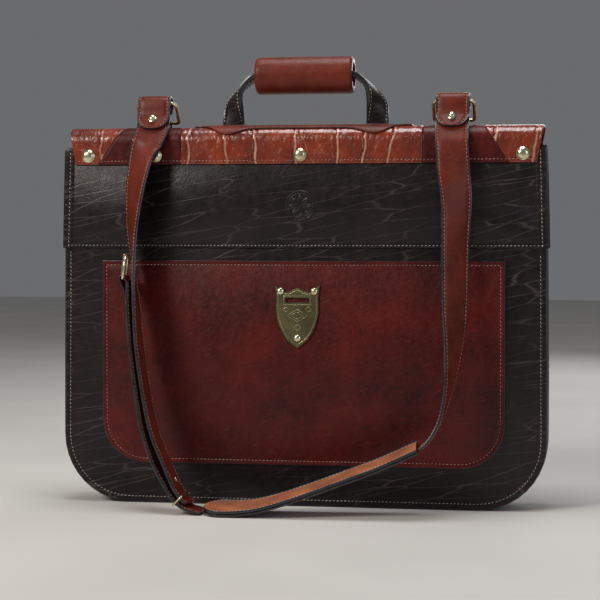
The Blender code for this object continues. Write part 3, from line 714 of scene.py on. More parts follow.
def turned(profile, sides=24):
    """A bmesh turned about +Z from (radius, height) points that start and end on the axis or rim."""
    shape = bmesh.new()
    loops = []
    for radius, height in profile:
        if radius < 1e-6:
            loops.append([shape.verts.new((0, 0, height))])
        else:
            loops.append([shape.verts.new((radius * math.cos(2 * math.pi * k / sides),
                                           radius * math.sin(2 * math.pi * k / sides), height))
                          for k in range(sides)])
    for first, second in zip(loops, loops[1:]):
        for k in range(sides):
            j = (k + 1) % sides
            ring = [first[k % len(first)], first[j % len(first)],
                    second[j % len(second)], second[k % len(second)]]
            ring = [v for i, v in enumerate(ring) if v not in ring[:i]]
            if len(ring) > 2:
                shape.faces.new(ring)
    if len(loops[0]) > 1:
        shape.faces.new(list(reversed(loops[0])))
    return shape


def body_corners(bottom=0.0):
    """A half's outline, or its upper part from the given height."""
    low = CORNER_BOTTOM if bottom == 0 else 0.0012
    top = HALF_WIDTH - TOP_INSET
    return [(-HALF_WIDTH, bottom, low), (HALF_WIDTH, bottom, low),
            (top, PANEL_TOP, CORNER_TOP), (-top, PANEL_TOP, CORNER_TOP)]


def yoke_corners(inset):
    """The yoke's seam is sewn nearer its lower edge than its sides are."""
    return body_corners(YOKE_BOTTOM - min(inset * 0.55, 0.0066))


def pocket_corners():
    """The pocket's outline: round below, square at its open top."""
    return [(-POCKET_HALF_WIDTH, POCKET_BOTTOM, POCKET_CORNER),
            (POCKET_HALF_WIDTH, POCKET_BOTTOM, POCKET_CORNER),
            (POCKET_HALF_WIDTH, POCKET_TOP, 0.0015), (-POCKET_HALF_WIDTH, POCKET_TOP, 0.0015)]


def make_panels(half, craft):
    """The lower panel and the yoke that overlaps it."""
    side, body = HALVES[half]
    near = PANEL_IN
    thick = PANEL_OUT - PANEL_IN
    rings = hide_rings(thick, craft.edge_radius, craft.stitch_inset)
    panel = cut_hide(half + "_panel_hide", body_corners(), near, side, rings)
    place_on(panel, body, "black_leather", half + "_panel")
    skived = [(0.0004, 0.0), (0.0, 0.0002), (0.0, 0.0006), (0.0010, 0.0011), (0.0032, LEATHER)]
    rings = skived + channel(LEATHER, craft.stitch_inset) \
        + channel(LEATHER, craft.crease_inset, 0.00030, 0.0005)
    yoke = cut_hide(half + "_yoke_hide", yoke_corners, YOKE_IN, side, rings, painted=2)
    place_on(yoke, body, "black_leather", half + "_yoke")
    face = side * (PANEL_OUT - 0.00015)
    outline = rounded(body_corners(), craft.stitch_inset)
    lower = [p for p in outline if p[1] < YOKE_BOTTOM - 0.003]
    start = max(range(len(lower)), key=lambda i: (lower[i - 1][0] - lower[i][0])**2
                + (lower[i - 1][1] - lower[i][1])**2)
    lower = lower[start:] + lower[:start]
    sewn_run(body, [(x, face, z) for x, z in lower], (0, side, 0))
    face = side * (YOKE_IN + LEATHER - 0.00015)
    inset = craft.stitch_inset
    foot = HALF_WIDTH - inset
    head = HALF_WIDTH - TOP_INSET - inset
    for hand in (-1, 1):
        sewn_run(body, [(hand * foot, face, YOKE_BOTTOM + 0.003), (hand * head, face, 0.404)],
                 (0, side, 0))
    sewn_run(body, [(-foot, face, YOKE_BOTTOM + 0.0032), (foot, face, YOKE_BOTTOM + 0.0032)],
             (0, side, 0))


def make_pocket(half, craft):
    """A pocket front sewn over a narrow welt, open along its top."""
    side, body = HALVES[half]
    near = YOKE_IN + POCKET_STAND
    rings = hide_rings(LEATHER, SKIVED_EDGE, craft.pocket_inset)
    front = cut_hide(half + "_pocket_front", pocket_corners(), near, side, rings,
                     ("pocket", "edge"))
    place_on(front, body, "chestnut_leather", half + "_pocket")
    middle = POCKET_RIM / 2
    big = POCKET_CORNER - middle
    reach, low = POCKET_HALF_WIDTH - middle, POCKET_BOTTOM + middle
    path = [(-reach, POCKET_TOP - 0.001)] + arc((-reach + big, low + big), big, 180, 270, 12) \
        + arc((reach - big, low + big), big, 270, 360, 12) + [(reach, POCKET_TOP - 0.001)]
    route, runs, total = respaced([(x, side * (YOKE_IN + POCKET_STAND / 2), z)
                                   for x, z in path], 0.006)
    frames = plane_frames(route, (0, side, 0))
    welt = band(half + "_pocket_welt", frames, runs, total, POCKET_RIM, POCKET_STAND,
                ("pocket", "edge", "pocket"), groove=0, crown=0.0001)
    place_on(welt, body, "chestnut_leather")
    face = side * (near + LEATHER - 0.00015)
    sewn_outline(body, pocket_corners(), craft.pocket_inset, face, side, "rosy_thread")


def plane_frames(route, out):
    """Frames of a path that lies in a plane, whose face looks along out."""
    centres = [Vector(point) for point in route]
    facing = Vector(out)
    made = []
    for i, centre in enumerate(centres):
        along = (centres[min(i + 1, len(centres) - 1)] - centres[max(i - 1, 0)]).normalized()
        made.append((centre, facing.cross(along).normalized(), facing))
    return made


def bent_frames(route, across, hand=1):
    """Frames of a path that bends about one direction across it."""
    centres = [Vector(point) for point in route]
    made = []
    for i, centre in enumerate(centres):
        along = (centres[min(i + 1, len(centres) - 1)] - centres[max(i - 1, 0)]).normalized()
        side = Vector(across)
        side = (side - along * side.dot(along)).normalized()
        made.append((centre, side, along.cross(side) * hand))
    return made


def make_gussets(half):
    """The strip round the sides and bottom of a half, spliced on each side."""
    side, body = HALVES[half]
    near = 0.001
    far = PANEL_IN - 2 * GAP - LINING
    width, middle = far - near, side * (near + far) / 2
    seam = 0.0035
    wall = HALF_WIDTH - GUSSET_THICK / 2
    big = CORNER_BOTTOM - GUSSET_THICK / 2
    paths = {}
    for hand, sign in (("left", -1), ("right", 1)):
        low = SPLICES[hand] + GAP
        paths[hand] = [(sign * wall, low), (sign * (wall - TOP_INSET), PANEL_TOP)]
    paths["bottom"] = [(-wall, SPLICES["left"])] \
        + arc((-wall + big, CORNER_BOTTOM), big, 180, 270, 16) \
        + arc((wall - big, CORNER_BOTTOM), big, 270, 360, 16) + [(wall, SPLICES["right"])]
    for name, path in paths.items():
        if name == "left":
            path = list(reversed(path))
        route, runs, total = respaced([(x, middle, z) for x, z in path], 0.008)
        frames = bent_frames(route, (0, 1, 0))
        strip = band(f"{half}_gusset_strip_{name}", frames, runs, total, width, GUSSET_THICK,
                     ("hide", "edge", "hide"), groove=seam, crown=0.00015)
        place_on(strip, body, "black_leather", f"{half}_gusset_{name}")
        sew_band(body, frames, runs, total, width, GUSSET_THICK, inset=seam, faces=(1,))
        if name != "bottom":
            end = route[-1] if name == "left" else route[0]
            out = 1 if name == "right" else -1
            x, z = end[0] + out * GUSSET_THICK / 2, end[2] + 0.004
            sewn_run(body, [(x, middle - width * 0.42, z), (x, middle + width * 0.42, z)],
                     (out, 0, 0))


def make_lining(half):
    """Woven lining stretched over the inside of the panel and sewn into the gussets."""
    side, body = HALVES[half]
    inset = GUSSET_THICK + GAP
    near = PANEL_IN - GAP - LINING
    wide = HALF_WIDTH - inset
    corners = [(-wide, inset, CORNER_BOTTOM - inset), (wide, inset, CORNER_BOTTOM - inset),
               (wide - TOP_INSET, PANEL_TOP, 0.004), (-wide + TOP_INSET, PANEL_TOP, 0.004)]
    rings = hide_rings(LINING, 0.0005, LINING_SEAM)
    lining = cut_hide(half + "_lining_cloth", corners, near, side, rings, ("cloth", "cloth"))
    place_on(lining, body, "lining_cloth", half + "_lining")
    sewn_outline(body, corners, LINING_SEAM, side * (near + 0.0001), -side)


def saddle_surface(s):
    """(y, z, normal y, normal z) of the saddle's outer face, s metres over it from the hem."""
    rise = SHOULDER_Z - SADDLE_HEM
    bend = SHOULDER * math.pi / 2
    if s <= rise:
        return -SADDLE_OUT, SADDLE_HEM + s, -1.0, 0.0
    s -= rise
    if s <= bend:
        turn = s / SHOULDER
        return (-FLAT_D - SHOULDER * math.cos(turn), SHOULDER_Z + SHOULDER * math.sin(turn),
                -math.cos(turn), math.sin(turn))
    s -= bend
    if s <= 2 * FLAT_D:
        return -FLAT_D + s, SADDLE_TOP, 0.0, 1.0
    turn = (s - 2 * FLAT_D) / SHOULDER
    return (FLAT_D + SHOULDER * math.sin(turn), SHOULDER_Z + SHOULDER * math.cos(turn),
            math.sin(turn), math.cos(turn))


SADDLE_RUN = (SHOULDER_Z - SADDLE_HEM) + SHOULDER * math.pi + 2 * FLAT_D


def edge_at(z, hem_x, top_x):
    """Where a slanted edge of the saddle is at one height."""
    share = min(max((z - SADDLE_HEM) / (SADDLE_TOP - SADDLE_HEM), 0.0), 1.0)
    return hem_x + (top_x - hem_x) * share


def scale_lines(seed, left, right):
    """Grooves between belly scales, as (x at the hem, slant, strength), left to right."""
    pick = random.Random(seed)
    x, lines = left + pick.uniform(0.006, 0.020), []
    while x < right - 0.006:
        lines.append((x, pick.uniform(-0.18, 0.20), pick.uniform(0.6, 1.0)))
        if pick.random() < 0.3:
            lines.append((x + 0.012, pick.uniform(-0.7, -0.3), 0.45))
        x += pick.uniform(0.030, 0.050)
    return lines


def belly_relief(lines, x, s):
    """Height, never above the face, and tone of alligator hide: 0 is painted shade in a groove, 0.5
    plain, 1 a painted highlight on the lips.
    """
    height, shade = 0.0, 0.5
    for spot, slant, strength in lines:
        wander = 0.0030 * noise.noise(Vector((spot * 90, s * 60, 1.3)))
        wide = 1.0 + 0.6 * noise.noise(Vector((spot * 50, s * 90, 7.7)))
        off = x - (spot + slant * (s - 0.02) + wander)
        sunk = strength * (math.exp(-((off + 0.0024) / 0.0008)**2)
                           + 0.6 * math.exp(-((off - 0.0024) / 0.0006)**2))
        # Painted highlight along each groove's lips, and painted shade down in the groove.
        lip_highlight = strength * math.exp(-(off / (0.0014 * wide))**2)
        height -= 0.0012 * sunk
        shade += 0.5 * lip_highlight - 0.5 * sunk
    folds = noise.noise(Vector((x * 170, s * 120, 4.1)))
    height -= 0.0005 * abs(folds)
    # The folds also add a little painted light and shade.
    shade += 0.10 * folds
    return height - 0.0002, min(max(shade, 0.0), 1.0)


def plain_relief(x, s):
    """Height and tone of the plain hide of the bands."""
    return -0.00012 * (1 + noise.noise(Vector((x * 30, s * 60, 2.0)))), 0.5


def skin(name, us, vs, surface, thick, finishes):
    """A closed hide over a grid. surface(u, v) gives point, normal, height and tone, a painted light
    and shade that the scaled finish reads.
    """
    shape = bmesh.new()
    tones = []
    outer, inner = [], []
    for u in us:
        row, under = [], []
        for v in vs:
            point, normal, height, shade = surface(u, v)
            row.append(shape.verts.new(point + normal * height))
            under.append(shape.verts.new(point - normal * thick))
            tones += [shade, 0.3]
        outer.append(row)
        inner.append(under)
    for i in range(len(us) - 1):
        for j in range(len(vs) - 1):
            for grid, kind in ((outer, 0), (inner, 2)):
                face = shape.faces.new((grid[i][j], grid[i + 1][j], grid[i + 1][j + 1],
                                        grid[i][j + 1]))
                face.material_index = min(kind, len(finishes) - 1)
    last_u, last_v = len(us) - 1, len(vs) - 1
    rim = [(i, 0) for i in range(last_u)] + [(last_u, j) for j in range(last_v)] \
        + [(i, last_v) for i in range(last_u, 0, -1)] + [(0, j) for j in range(last_v, 0, -1)]
    for (a, b), (c, d) in zip(rim, rim[1:] + rim[:1]):
        face = shape.faces.new((outer[a][b], outer[c][d], inner[c][d], inner[a][b]))
        face.material_index = 1
    piece = finish_mesh(name, shape, finishes, smooth=55)
    # The tone is stored as painted light and shade for the scaled finish.
    attribute = piece.data.attributes.new("scale_tone", "FLOAT", "POINT")
    attribute.data.foreach_set("value", tones)
    return piece


def stations(length, step):
    """Shares of a length: close together at both ends, then at an even step."""
    edges = (0.0, 0.0004, 0.0011)
    inner = length - 2 * edges[-1]
    count = max(2, round(inner / step))
    spots = list(edges) + [edges[-1] + inner * i / count for i in range(1, count)] \
        + [length - e for e in reversed(edges)]
    return [spot / length for spot in spots]


def rolled_rim(distance):
    """How far a hide's face falls towards its cut edge."""
    return -0.0006 * max(0.0, 1 - distance / 0.0011)**2


def saddle_hide(name, left, right, finish, relief, slot):
    """One of the hides side by side over the top, between two slanted edges.

    Each edge is its x at the hem and its x on top, and relief(x, s) gives height and a tone of
    painted light and shade.
    """
    run = SADDLE_RUN
    width = abs(right[1] - left[1])
    us = stations(width, 0.0014)
    vs = stations(run, 0.0016)

    def spot(u, v):
        s = v * run
        y, z, ny, nz = saddle_surface(s)
        x0, x1 = edge_at(z, *left) + GAP / 2, edge_at(z, *right) - GAP / 2
        x = x0 + (x1 - x0) * u
        height, shade = relief(x, s)
        fall = rolled_rim(min(u, 1 - u) * width) + rolled_rim(min(v, 1 - v) * run)
        seam = -0.0003 * math.exp(-((s - 0.004) / 0.0006)**2)
        return Vector((x, y, z)), Vector((0, ny, nz)), height + fall + seam, shade

    piece = skin(f"saddle_{name}_hide", us, vs, spot, SADDLE_THICK, (finish, "edge", "strap"))
    place_on(piece, "back_half", slot, "saddle_" + name)


def make_saddle_hides():
    """Glossy scaled hide at the centre and corners, plain bands between them."""
    grooves = {"corner_left": scale_lines(11, -0.285, -0.205),
               "centre": scale_lines(3, -CENTRE_HIDE, CENTRE_HIDE),
               "corner_right": scale_lines(5, 0.205, 0.285)}
    hides = (
        ("corner_left", (-SADDLE_HALF_HEM + SADDLE_SHORT_LEFT, -SADDLE_HALF_TOP + SADDLE_SHORT_LEFT),
         (-BAND_HEM, -BAND_TOP)),
        ("band_left", (-BAND_HEM, -BAND_TOP), (-CENTRE_HIDE, -CENTRE_HIDE)),
        ("centre", (-CENTRE_HIDE, -CENTRE_HIDE), (CENTRE_HIDE, CENTRE_HIDE)),
        ("band_right", (CENTRE_HIDE, CENTRE_HIDE), (BAND_HEM, BAND_TOP)),
        ("corner_right", (BAND_HEM, BAND_TOP), (SADDLE_HALF_HEM, SADDLE_HALF_TOP)),
    )
    for name, left, right in hides:
        if name in grooves:
            saddle_hide(name, left, right, "alligator", partial(belly_relief, grooves[name]),
                        "alligator_hide")
        else:
            saddle_hide(name, left, right, "pocket", plain_relief, "chestnut_leather")
    face = -(SADDLE_OUT - 0.0004)
    z = SADDLE_HEM + 0.004
    sewn_run("back_half", [(-0.259, face, z), (0.262, face, z)], (0, -1, 0), "rosy_thread")
    for side in (-1, 1):
        for hem, top, inset in ((BAND_HEM, BAND_TOP, -0.003), (CENTRE_HIDE, CENTRE_HIDE, 0.003)):
            points, normals = [], []
            for i in range(60):
                s = 0.005 + (SADDLE_RUN - 0.007) * i / 59
                y, z, ny, nz = saddle_surface(s)
                points.append((side * (edge_at(z, hem, top) + inset), y - ny * 0.0004,
                               z - nz * 0.0004))
                normals.append((0, ny, nz))
            add_stitches("back_half", points, normals, thread="dark_thread")


def make_front_strip():
    """The saddle's front hem, which lifts with the front half, and the leather curved over the
    shoulder.
    """
    run = SHOULDER_Z - GAP - SADDLE_HEM
    us, vs = stations(0.541, 0.0016), stations(run, 0.0016)
    lines = scale_lines(17, -0.27, 0.27)

    def spot(u, v):
        s = v * run
        y, z, ny, nz = SADDLE_OUT, SHOULDER_Z - GAP - s, 1.0, 0.0
        reach = SADDLE_HALF_HEM + FRONT_FLARE * (z - SADDLE_HEM) / run
        x = -reach + SADDLE_SHORT_LEFT + (2 * reach - SADDLE_SHORT_LEFT) * u
        height, shade = belly_relief(lines, x, s)
        fall = rolled_rim(min(u, 1 - u) * 2 * reach) + rolled_rim(min(v, 1 - v) * run)
        return Vector((x, y, z)), Vector((0, ny, nz)), height + fall, shade

    piece = skin("saddle_front_hide", us, vs, spot, SADDLE_THICK, ("alligator", "edge", "strap"))
    place_on(piece, "front_half", "alligator_hide", "saddle_front")
    sewn_run("front_half", [(-0.256, SADDLE_OUT - 0.0004, SADDLE_HEM + 0.004),
                            (0.262, SADDLE_OUT - 0.0004, SADDLE_HEM + 0.004)], (0, 1, 0))

    length = 0.018

    def fold(u, v):
        s = (v - 0.5) * length
        x = -0.262 + 0.530 * u
        if s <= 0:
            y, z, ny, nz = SADDLE_OUT, SHOULDER_Z + s, 1.0, 0.0
        else:
            turn = s / SHOULDER
            y, z = FLAT_D + SHOULDER * math.cos(turn), SHOULDER_Z + SHOULDER * math.sin(turn)
            ny, nz = math.cos(turn), math.sin(turn)
        height = 0.0009 + rolled_rim(min(v, 1 - v) * length)
        return Vector((x, y, z)), Vector((0, ny, nz)), height, 0.5

    hinge = skin("shoulder_fold_leather", stations(0.536, 0.006), stations(length, 0.0012), fold,
                 0.0002, ("strap", "edge", "strap"))
    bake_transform(hinge)
    seam_turn = math.radians(26)
    ny, nz = math.cos(seam_turn), math.sin(seam_turn)
    sewn_run("back_half", [(x, FLAT_D + (SHOULDER + 0.0007) * ny,
                            SHOULDER_Z + (SHOULDER + 0.0007) * nz) for x in (-0.260, 0.266)],
             (0, ny, nz))
    sewn_run("front_half", [(-0.260, SADDLE_OUT + 0.0007, SHOULDER_Z - 0.0065),
                            (0.266, SADDLE_OUT + 0.0007, SHOULDER_Z - 0.0065)], (0, 1, 0))


def make_handle_patch():
    """Leather patch over the crest under the handle, its edge dipping at each handle foot."""
    lift = GAP + LEATHER
    radius = SHOULDER + lift
    width = 2 * PATCH_HALF_WIDTH

    def spot(u, v):
        x = -PATCH_HALF_WIDTH + width * u
        dip = math.exp(-((abs(x) - HANDLE_BASE_X) / 0.018)**2)
        ease = min(max((0.122 - abs(x)) / 0.030, 0.0), 1.0)
        base = 6 + 28 * ease * ease * (3 - 2 * ease)
        back = FLAT_D + radius * math.radians(base + 30 * dip)
        front = FLAT_D + radius * math.radians(base + 12 * dip)
        s = -back + (back + front) * v
        if abs(s) <= FLAT_D:
            y, z, ny, nz = s, SADDLE_TOP + lift, 0.0, 1.0
        else:
            turn = (abs(s) - FLAT_D) / radius
            hand = math.copysign(1, s)
            y, z = hand * (FLAT_D + radius * math.sin(turn)), SHOULDER_Z + radius * math.cos(turn)
            ny, nz = hand * math.sin(turn), math.cos(turn)
        fall = rolled_rim(min(u, 1 - u) * width) + rolled_rim(min(v, 1 - v) * (back + front))
        return Vector((x, y, z)), Vector((0, ny, nz)), fall, 0.5

    us, vs = stations(width, 0.0025), stations(0.068, 0.002)
    patch = skin("handle_patch_hide", us, vs, spot, LEATHER - 0.0001, ("strap", "edge", "strap"))
    place_on(patch, "back_half", "chestnut_leather", "handle_patch")
    for v in (0.055, 0.945):
        points, normals = [], []
        for i in range(120):
            point, normal, fall, _ = spot(0.02 + 0.96 * i / 119, v)
            points.append(point - normal * 0.0002)
            normals.append(normal)
        add_stitches("back_half", points, normals, thread="brown_thread")
    for u in (0.015, 0.985):
        picked = [spot(u, 0.06 + 0.88 * i / 39) for i in range(40)]
        add_stitches("back_half", [p - n * 0.0002 for p, n, _, _ in picked],
                     [n for _, n, _, _ in picked], thread="brown_thread")


def make_handle_strap():
    """One stuffed strap whose flat feet turn edge-on before they enter the grip."""
    # x, z and the turn in degrees, from a foot to the grip
    leg = [
        (HANDLE_BASE_X, 0.4377, 0), (HANDLE_BASE_X, 0.4450, 8), (0.0835, 0.4570, 28),
        (0.0805, 0.4680, 55), (0.0745, 0.4795, 78), (0.0650, 0.4888, 90),
        (0.0560, GRIP_Z, 90), (0.0300, GRIP_Z, 90),
    ]
    knots = [(-x, 0.0, z, turn) for x, z, turn in leg] + \
        [(x, 0.0, z, 180 - turn) for x, z, turn in reversed(leg)]
    route, runs, total = respaced(smooth_route(knots, 8), 0.0022)
    frames = turned_frames(route, 1)
    strap = band("handle_rolled_strap", frames, runs, total, HANDLE_WIDTH, HANDLE_THICK,
                 ("hide", "edge", "hide"), groove=0.0030, crown=0.0009)
    place_on(strap, "handle", "black_leather", "handle_strap")
    sew_band("handle", frames, runs, total, HANDLE_WIDTH, HANDLE_THICK, inset=0.0030)


def make_grip():
    """Leather wound once round the handle, its outer edge lapped along the top."""
    rim = 0.0035
    profile = [(GRIP_BORE, 0.0), (GRIP_RADIUS - 0.0036, 0.0), (GRIP_RADIUS - 0.0018, 0.0005),
               (GRIP_RADIUS - 0.0006, 0.0017), (GRIP_RADIUS, rim)]
    ends = [(r, -GRIP_HALF + run) for r, run in profile]
    body = [(GRIP_RADIUS, -GRIP_HALF + rim + (2 * GRIP_HALF - 2 * rim) * i / 24)
            for i in range(1, 24)]
    line = ends + body + [(r, -x) for r, x in reversed(ends)]
    lap = math.radians(62)
    sides = 96
    shape = bmesh.new()
    loops = []
    for r, x in line:
        start = lap + math.radians(5) * x / GRIP_HALF
        ring = []
        for k in range(sides):
            share = k / (sides - 1)
            turn = start - 2 * math.pi * share
            outside = max(0.0, (r - GRIP_BORE) / (GRIP_RADIUS - GRIP_BORE))
            soft = min(1.0, share / 0.01)
            radius = r - outside * (0.0013 * share + 0.0003 * (1 - soft))
            radius -= 0.00012 * outside * noise.noise(Vector((x * 60, turn * 3, 0.0)))
            ring.append(shape.verts.new((x, -radius * math.cos(turn),
                                         GRIP_Z + radius * math.sin(turn))))
        loops.append(ring)
    for level, (first, second) in enumerate(zip(loops, loops[1:] + loops[:1])):
        for k in range(sides):
            j = (k + 1) % sides
            face = shape.faces.new((first[k], first[j], second[j], second[k]))
            face.material_index = 1 if k == sides - 1 or level in (0, len(loops) - 2) else 0
    grip = finish_mesh("wrapped_grip", shape, ("strap", "edge"), smooth=45)
    place_on(grip, "handle", "strap_leather", "grip_wrap")
    points, normals = [], []
    for i in range(60):
        x = -GRIP_HALF + 0.005 + (2 * GRIP_HALF - 0.010) * i / 59
        turn = lap + math.radians(5) * x / GRIP_HALF - math.radians(9)
        out = Vector((0, -math.cos(turn), math.sin(turn)))
        points.append(Vector((x, 0, GRIP_Z)) + out * (GRIP_RADIUS - 0.0004))
        normals.append(out)
    add_stitches("handle", points, normals, thread="brown_thread")


def ring_point(x, rise, side):
    """A point of a leaning ring, x from its middle and rise above its base bar."""
    return (side * RING_X + x, -rise * math.sin(RING_LEAN),
            RING_PIVOT_Z + rise * math.cos(RING_LEAN))


def make_rings():
    """D-rings of drawn brass wire, and the leather loops that hold their bars."""
    flat, shoulder = RING_HALF_WIDTH - RING_CORNER, RING_HEIGHT - RING_CORNER
    low = 0.003
    half = arc((RING_HALF_WIDTH - low, low), low, -90, 0, 5) \
        + arc((flat, shoulder), RING_CORNER, 0, 90, 12)
    outline = half + [(-x, rise) for x, rise in reversed(half)]
    foot = SADDLE_TOP + GAP + 0.0009
    for hand, side in (("left", -1), ("right", 1)):
        ring = wire("dee_ring_" + hand, [ring_point(x, rise, side) for x, rise in outline],
                    RING_WIRE, "brass", closed=True)
        place_on(ring, "ring_" + hand, "bright_brass", "ring_" + hand)
        path = [(-0.0118, foot), (-0.0075, foot), (-0.0052, foot + 0.0010),
                (-0.0041, foot + 0.0030)] + arc((0, RING_PIVOT_Z), 0.0035, 195, -15, 14) \
            + [(0.0041, foot + 0.0030), (0.0052, foot + 0.0010), (0.0075, foot),
               (0.0118, foot)]
        route, runs, total = respaced([(side * RING_X, y, z) for y, z in path], 0.0008)
        frames = bent_frames(route, (1, 0, 0), -1)
        loop = band("ring_keeper_" + hand, frames, runs, total, 0.026, 0.0017,
                    ("strap", "edge", "strap"), groove=0.0028, crown=0.0001)
        place_on(loop, "back_half", "strap_leather", "ring_loop_" + hand)
        for y in (-0.0095, 0.0095):
            sewn_run("back_half", [(side * RING_X - 0.0105, y, foot + 0.0007),
                                   (side * RING_X + 0.0105, y, foot + 0.0007)], (0, 0, 1))


def fold_frame(side):
    """Centre of a strap's fold over its ring, with its down and outward directions."""
    down = Vector((0, -math.sin(FOLD_LEAN), -math.cos(FOLD_LEAN)))
    out = Vector((0, -math.cos(FOLD_LEAN), math.sin(FOLD_LEAN)))
    crest = Vector(ring_point(0.0, RING_HEIGHT, side))
    return crest + down * FOLD_PULL, down, out


def fold_route(side):
    """The strap's tab and its fold over the ring, as (x, y, z, turn), ending on the main run."""
    centre, down, out = fold_frame(side)
    apart = (STRAP_THICK + 2 * GAP) / 2
    tab = [centre + down * s + out * (apart + (FOLD_RADIUS - apart) * w)
           for s, w in ((0.035, 0.0), (0.027, 0.0), (0.019, 0.0), (0.013, 0.16), (0.006, 0.70))]
    bend = [centre + out * FOLD_RADIUS * math.cos(t) - down * FOLD_RADIUS * math.sin(t)
            for t in (math.pi * i / 16 for i in range(17))]
    run = [centre + down * s - out * (apart + (FOLD_RADIUS - apart) * w)
           for s, w in ((0.006, 0.70), (0.013, 0.16), (0.019, 0.0), (0.027, 0.0), (0.036, 0.0))]
    return [(*point, 0.0) for point in tab + bend + run]


UPPER_LEFT = [
    (-0.1760, -0.0470, 0.4150, 6), (-0.1815, -0.0520, 0.3980, 30),
    (-0.1870, -0.0575, 0.3630, 44), (-0.1895, -0.0620, 0.3220, 58),
    (-0.1876, -0.0663, 0.2830, 72), (-0.1855, -0.0695, 0.2550, 80),
    (-0.1825, -0.0727, 0.2277, 86), (-0.1777, -0.0779, 0.1836, 90),
    (-0.1670, -0.0851, 0.1237, 90), (-0.1569, -0.0896, 0.0859, 90),
    (-0.1440, -0.0930, 0.0570, 90), (-0.1307, -0.0967, 0.0295, 90),
    (-0.1210, -0.0983, 0.0162, 90), (-0.1135, -0.0990, 0.0101, 90)]
LOWER_LEFT = [
    (-0.1913, -0.0695, 0.2550, 84), (-0.1898, -0.0727, 0.2275, 88),
    (-0.1842, -0.0786, 0.1780, 90), (-0.1753, -0.0851, 0.1235, 90),
    (-0.1682, -0.0890, 0.0910, 90), (-0.1568, -0.0929, 0.0589, 90),
    (-0.1434, -0.0958, 0.0345, 90), (-0.1312, -0.0980, 0.0167, 90),
    (-0.1198, -0.0991, 0.0074, 90), (-0.1060, -0.0998, 0.0030, 90),
    (-0.0985, -0.1000, 0.0028, 90)]
RIGHT_RUN = [
    (0.1725, -0.0470, 0.4150, 0), (0.1750, -0.0545, 0.3830, 12),
    (0.1785, -0.0594, 0.3470, 30), (0.1780, -0.0655, 0.2980, 41),
    (0.1783, -0.0735, 0.2330, 46), (0.1778, -0.0780, 0.1930, 60),
    (0.1745, -0.0830, 0.1520, 76), (0.1690, -0.0860, 0.1240, 86),
    (0.1625, -0.0885, 0.1030, 90), (0.1520, -0.0910, 0.0850, 90),
    (0.1415, -0.0922, 0.0758, 90)]
PAD_RUN = [
    (-0.0970, -0.1000, 0.0045, 90), (-0.0800, -0.1000, 0.0037, 90),
    (-0.0630, -0.1000, 0.0040, 90), (-0.0400, -0.0998, 0.0068, 90),
    (-0.0145, -0.0990, 0.0135, 90), (0.0160, -0.0978, 0.0240, 90),
    (0.0570, -0.0960, 0.0395, 90), (0.0970, -0.0942, 0.0550, 90),
    (0.1395, -0.0923, 0.0747, 90)]


def make_strap_runs():
    """The two strap ends folded over the rings, and the lower run that carries the buckle."""
    tab, tail = ((0, 0.0170),), ((0, 0.0170), (1, 0.010))
    runs_of = (
        ("strap_left_upper_run", fold_route(-1) + smooth_route(UPPER_LEFT, 8), 1, tail,
         "strap_upper_left"),
        ("strap_left_lower_run", smooth_route(LOWER_LEFT, 8), 1, (), "strap_lower_left"),
        ("strap_right_run", fold_route(1) + smooth_route(RIGHT_RUN, 8), -1, tab, "strap_right"),
    )
    for name, knots, hand, tips, node in runs_of:
        route, runs, total = respaced(knots, 0.0026, tips)
        frames = turned_frames(route, hand)
        strap = band(name, frames, runs, total, STRAP_WIDTH, STRAP_THICK,
                     ("strap", "edge", "strap"), tips=tips)
        place_on(strap, "shoulder_strap", "strap_leather", node)
        sew_band("shoulder_strap", frames, runs, total, STRAP_WIDTH, STRAP_THICK, tips=tips,
                 thread="rosy_thread")


def make_pad():
    """Leather base and a suede face that swells a little between its sewn edges."""
    tips = ((0, 0.022),)
    route, runs, total = respaced(smooth_route(PAD_RUN, 8), 0.0026, tips)
    frames = turned_frames(route, 1)
    low, high = 0.0026, PAD_THICK - 0.0026
    lean = math.radians(5.5)
    rise = Vector((0, 0, math.sin(lean) * PAD_WIDTH / 2))
    frames = [(centre + rise, -across * math.cos(lean) - out * math.sin(lean),
               -out * math.cos(lean) + across * math.sin(lean))
              for centre, across, out in frames]
    base = [(c - o * (PAD_THICK - low) / 2, a, o) for c, a, o in frames]
    top = [(c + o * (PAD_THICK - high) / 2, a, o) for c, a, o in frames]
    under = band("pad_leather_base", base, runs, total, PAD_WIDTH, low,
                 ("strap", "edge", "strap"), groove=0.0035, tips=tips)
    place_on(under, "shoulder_strap", "strap_leather")
    suede = band("pad_suede_face", top, runs, total, PAD_WIDTH - 0.001, high,
                 ("suede", "edge", "suede"), groove=0.0040, crown=0.0011, tips=tips)
    place_on(suede, "shoulder_strap", "suede", "shoulder_pad")
    sew_band("shoulder_strap", top, runs, total, PAD_WIDTH, high - 0.0016, inset=0.0045,
             faces=(1,), tips=tips)
    sew_band("shoulder_strap", base, runs, total, PAD_WIDTH, low, inset=0.0035, faces=(-1,),
             tips=tips)


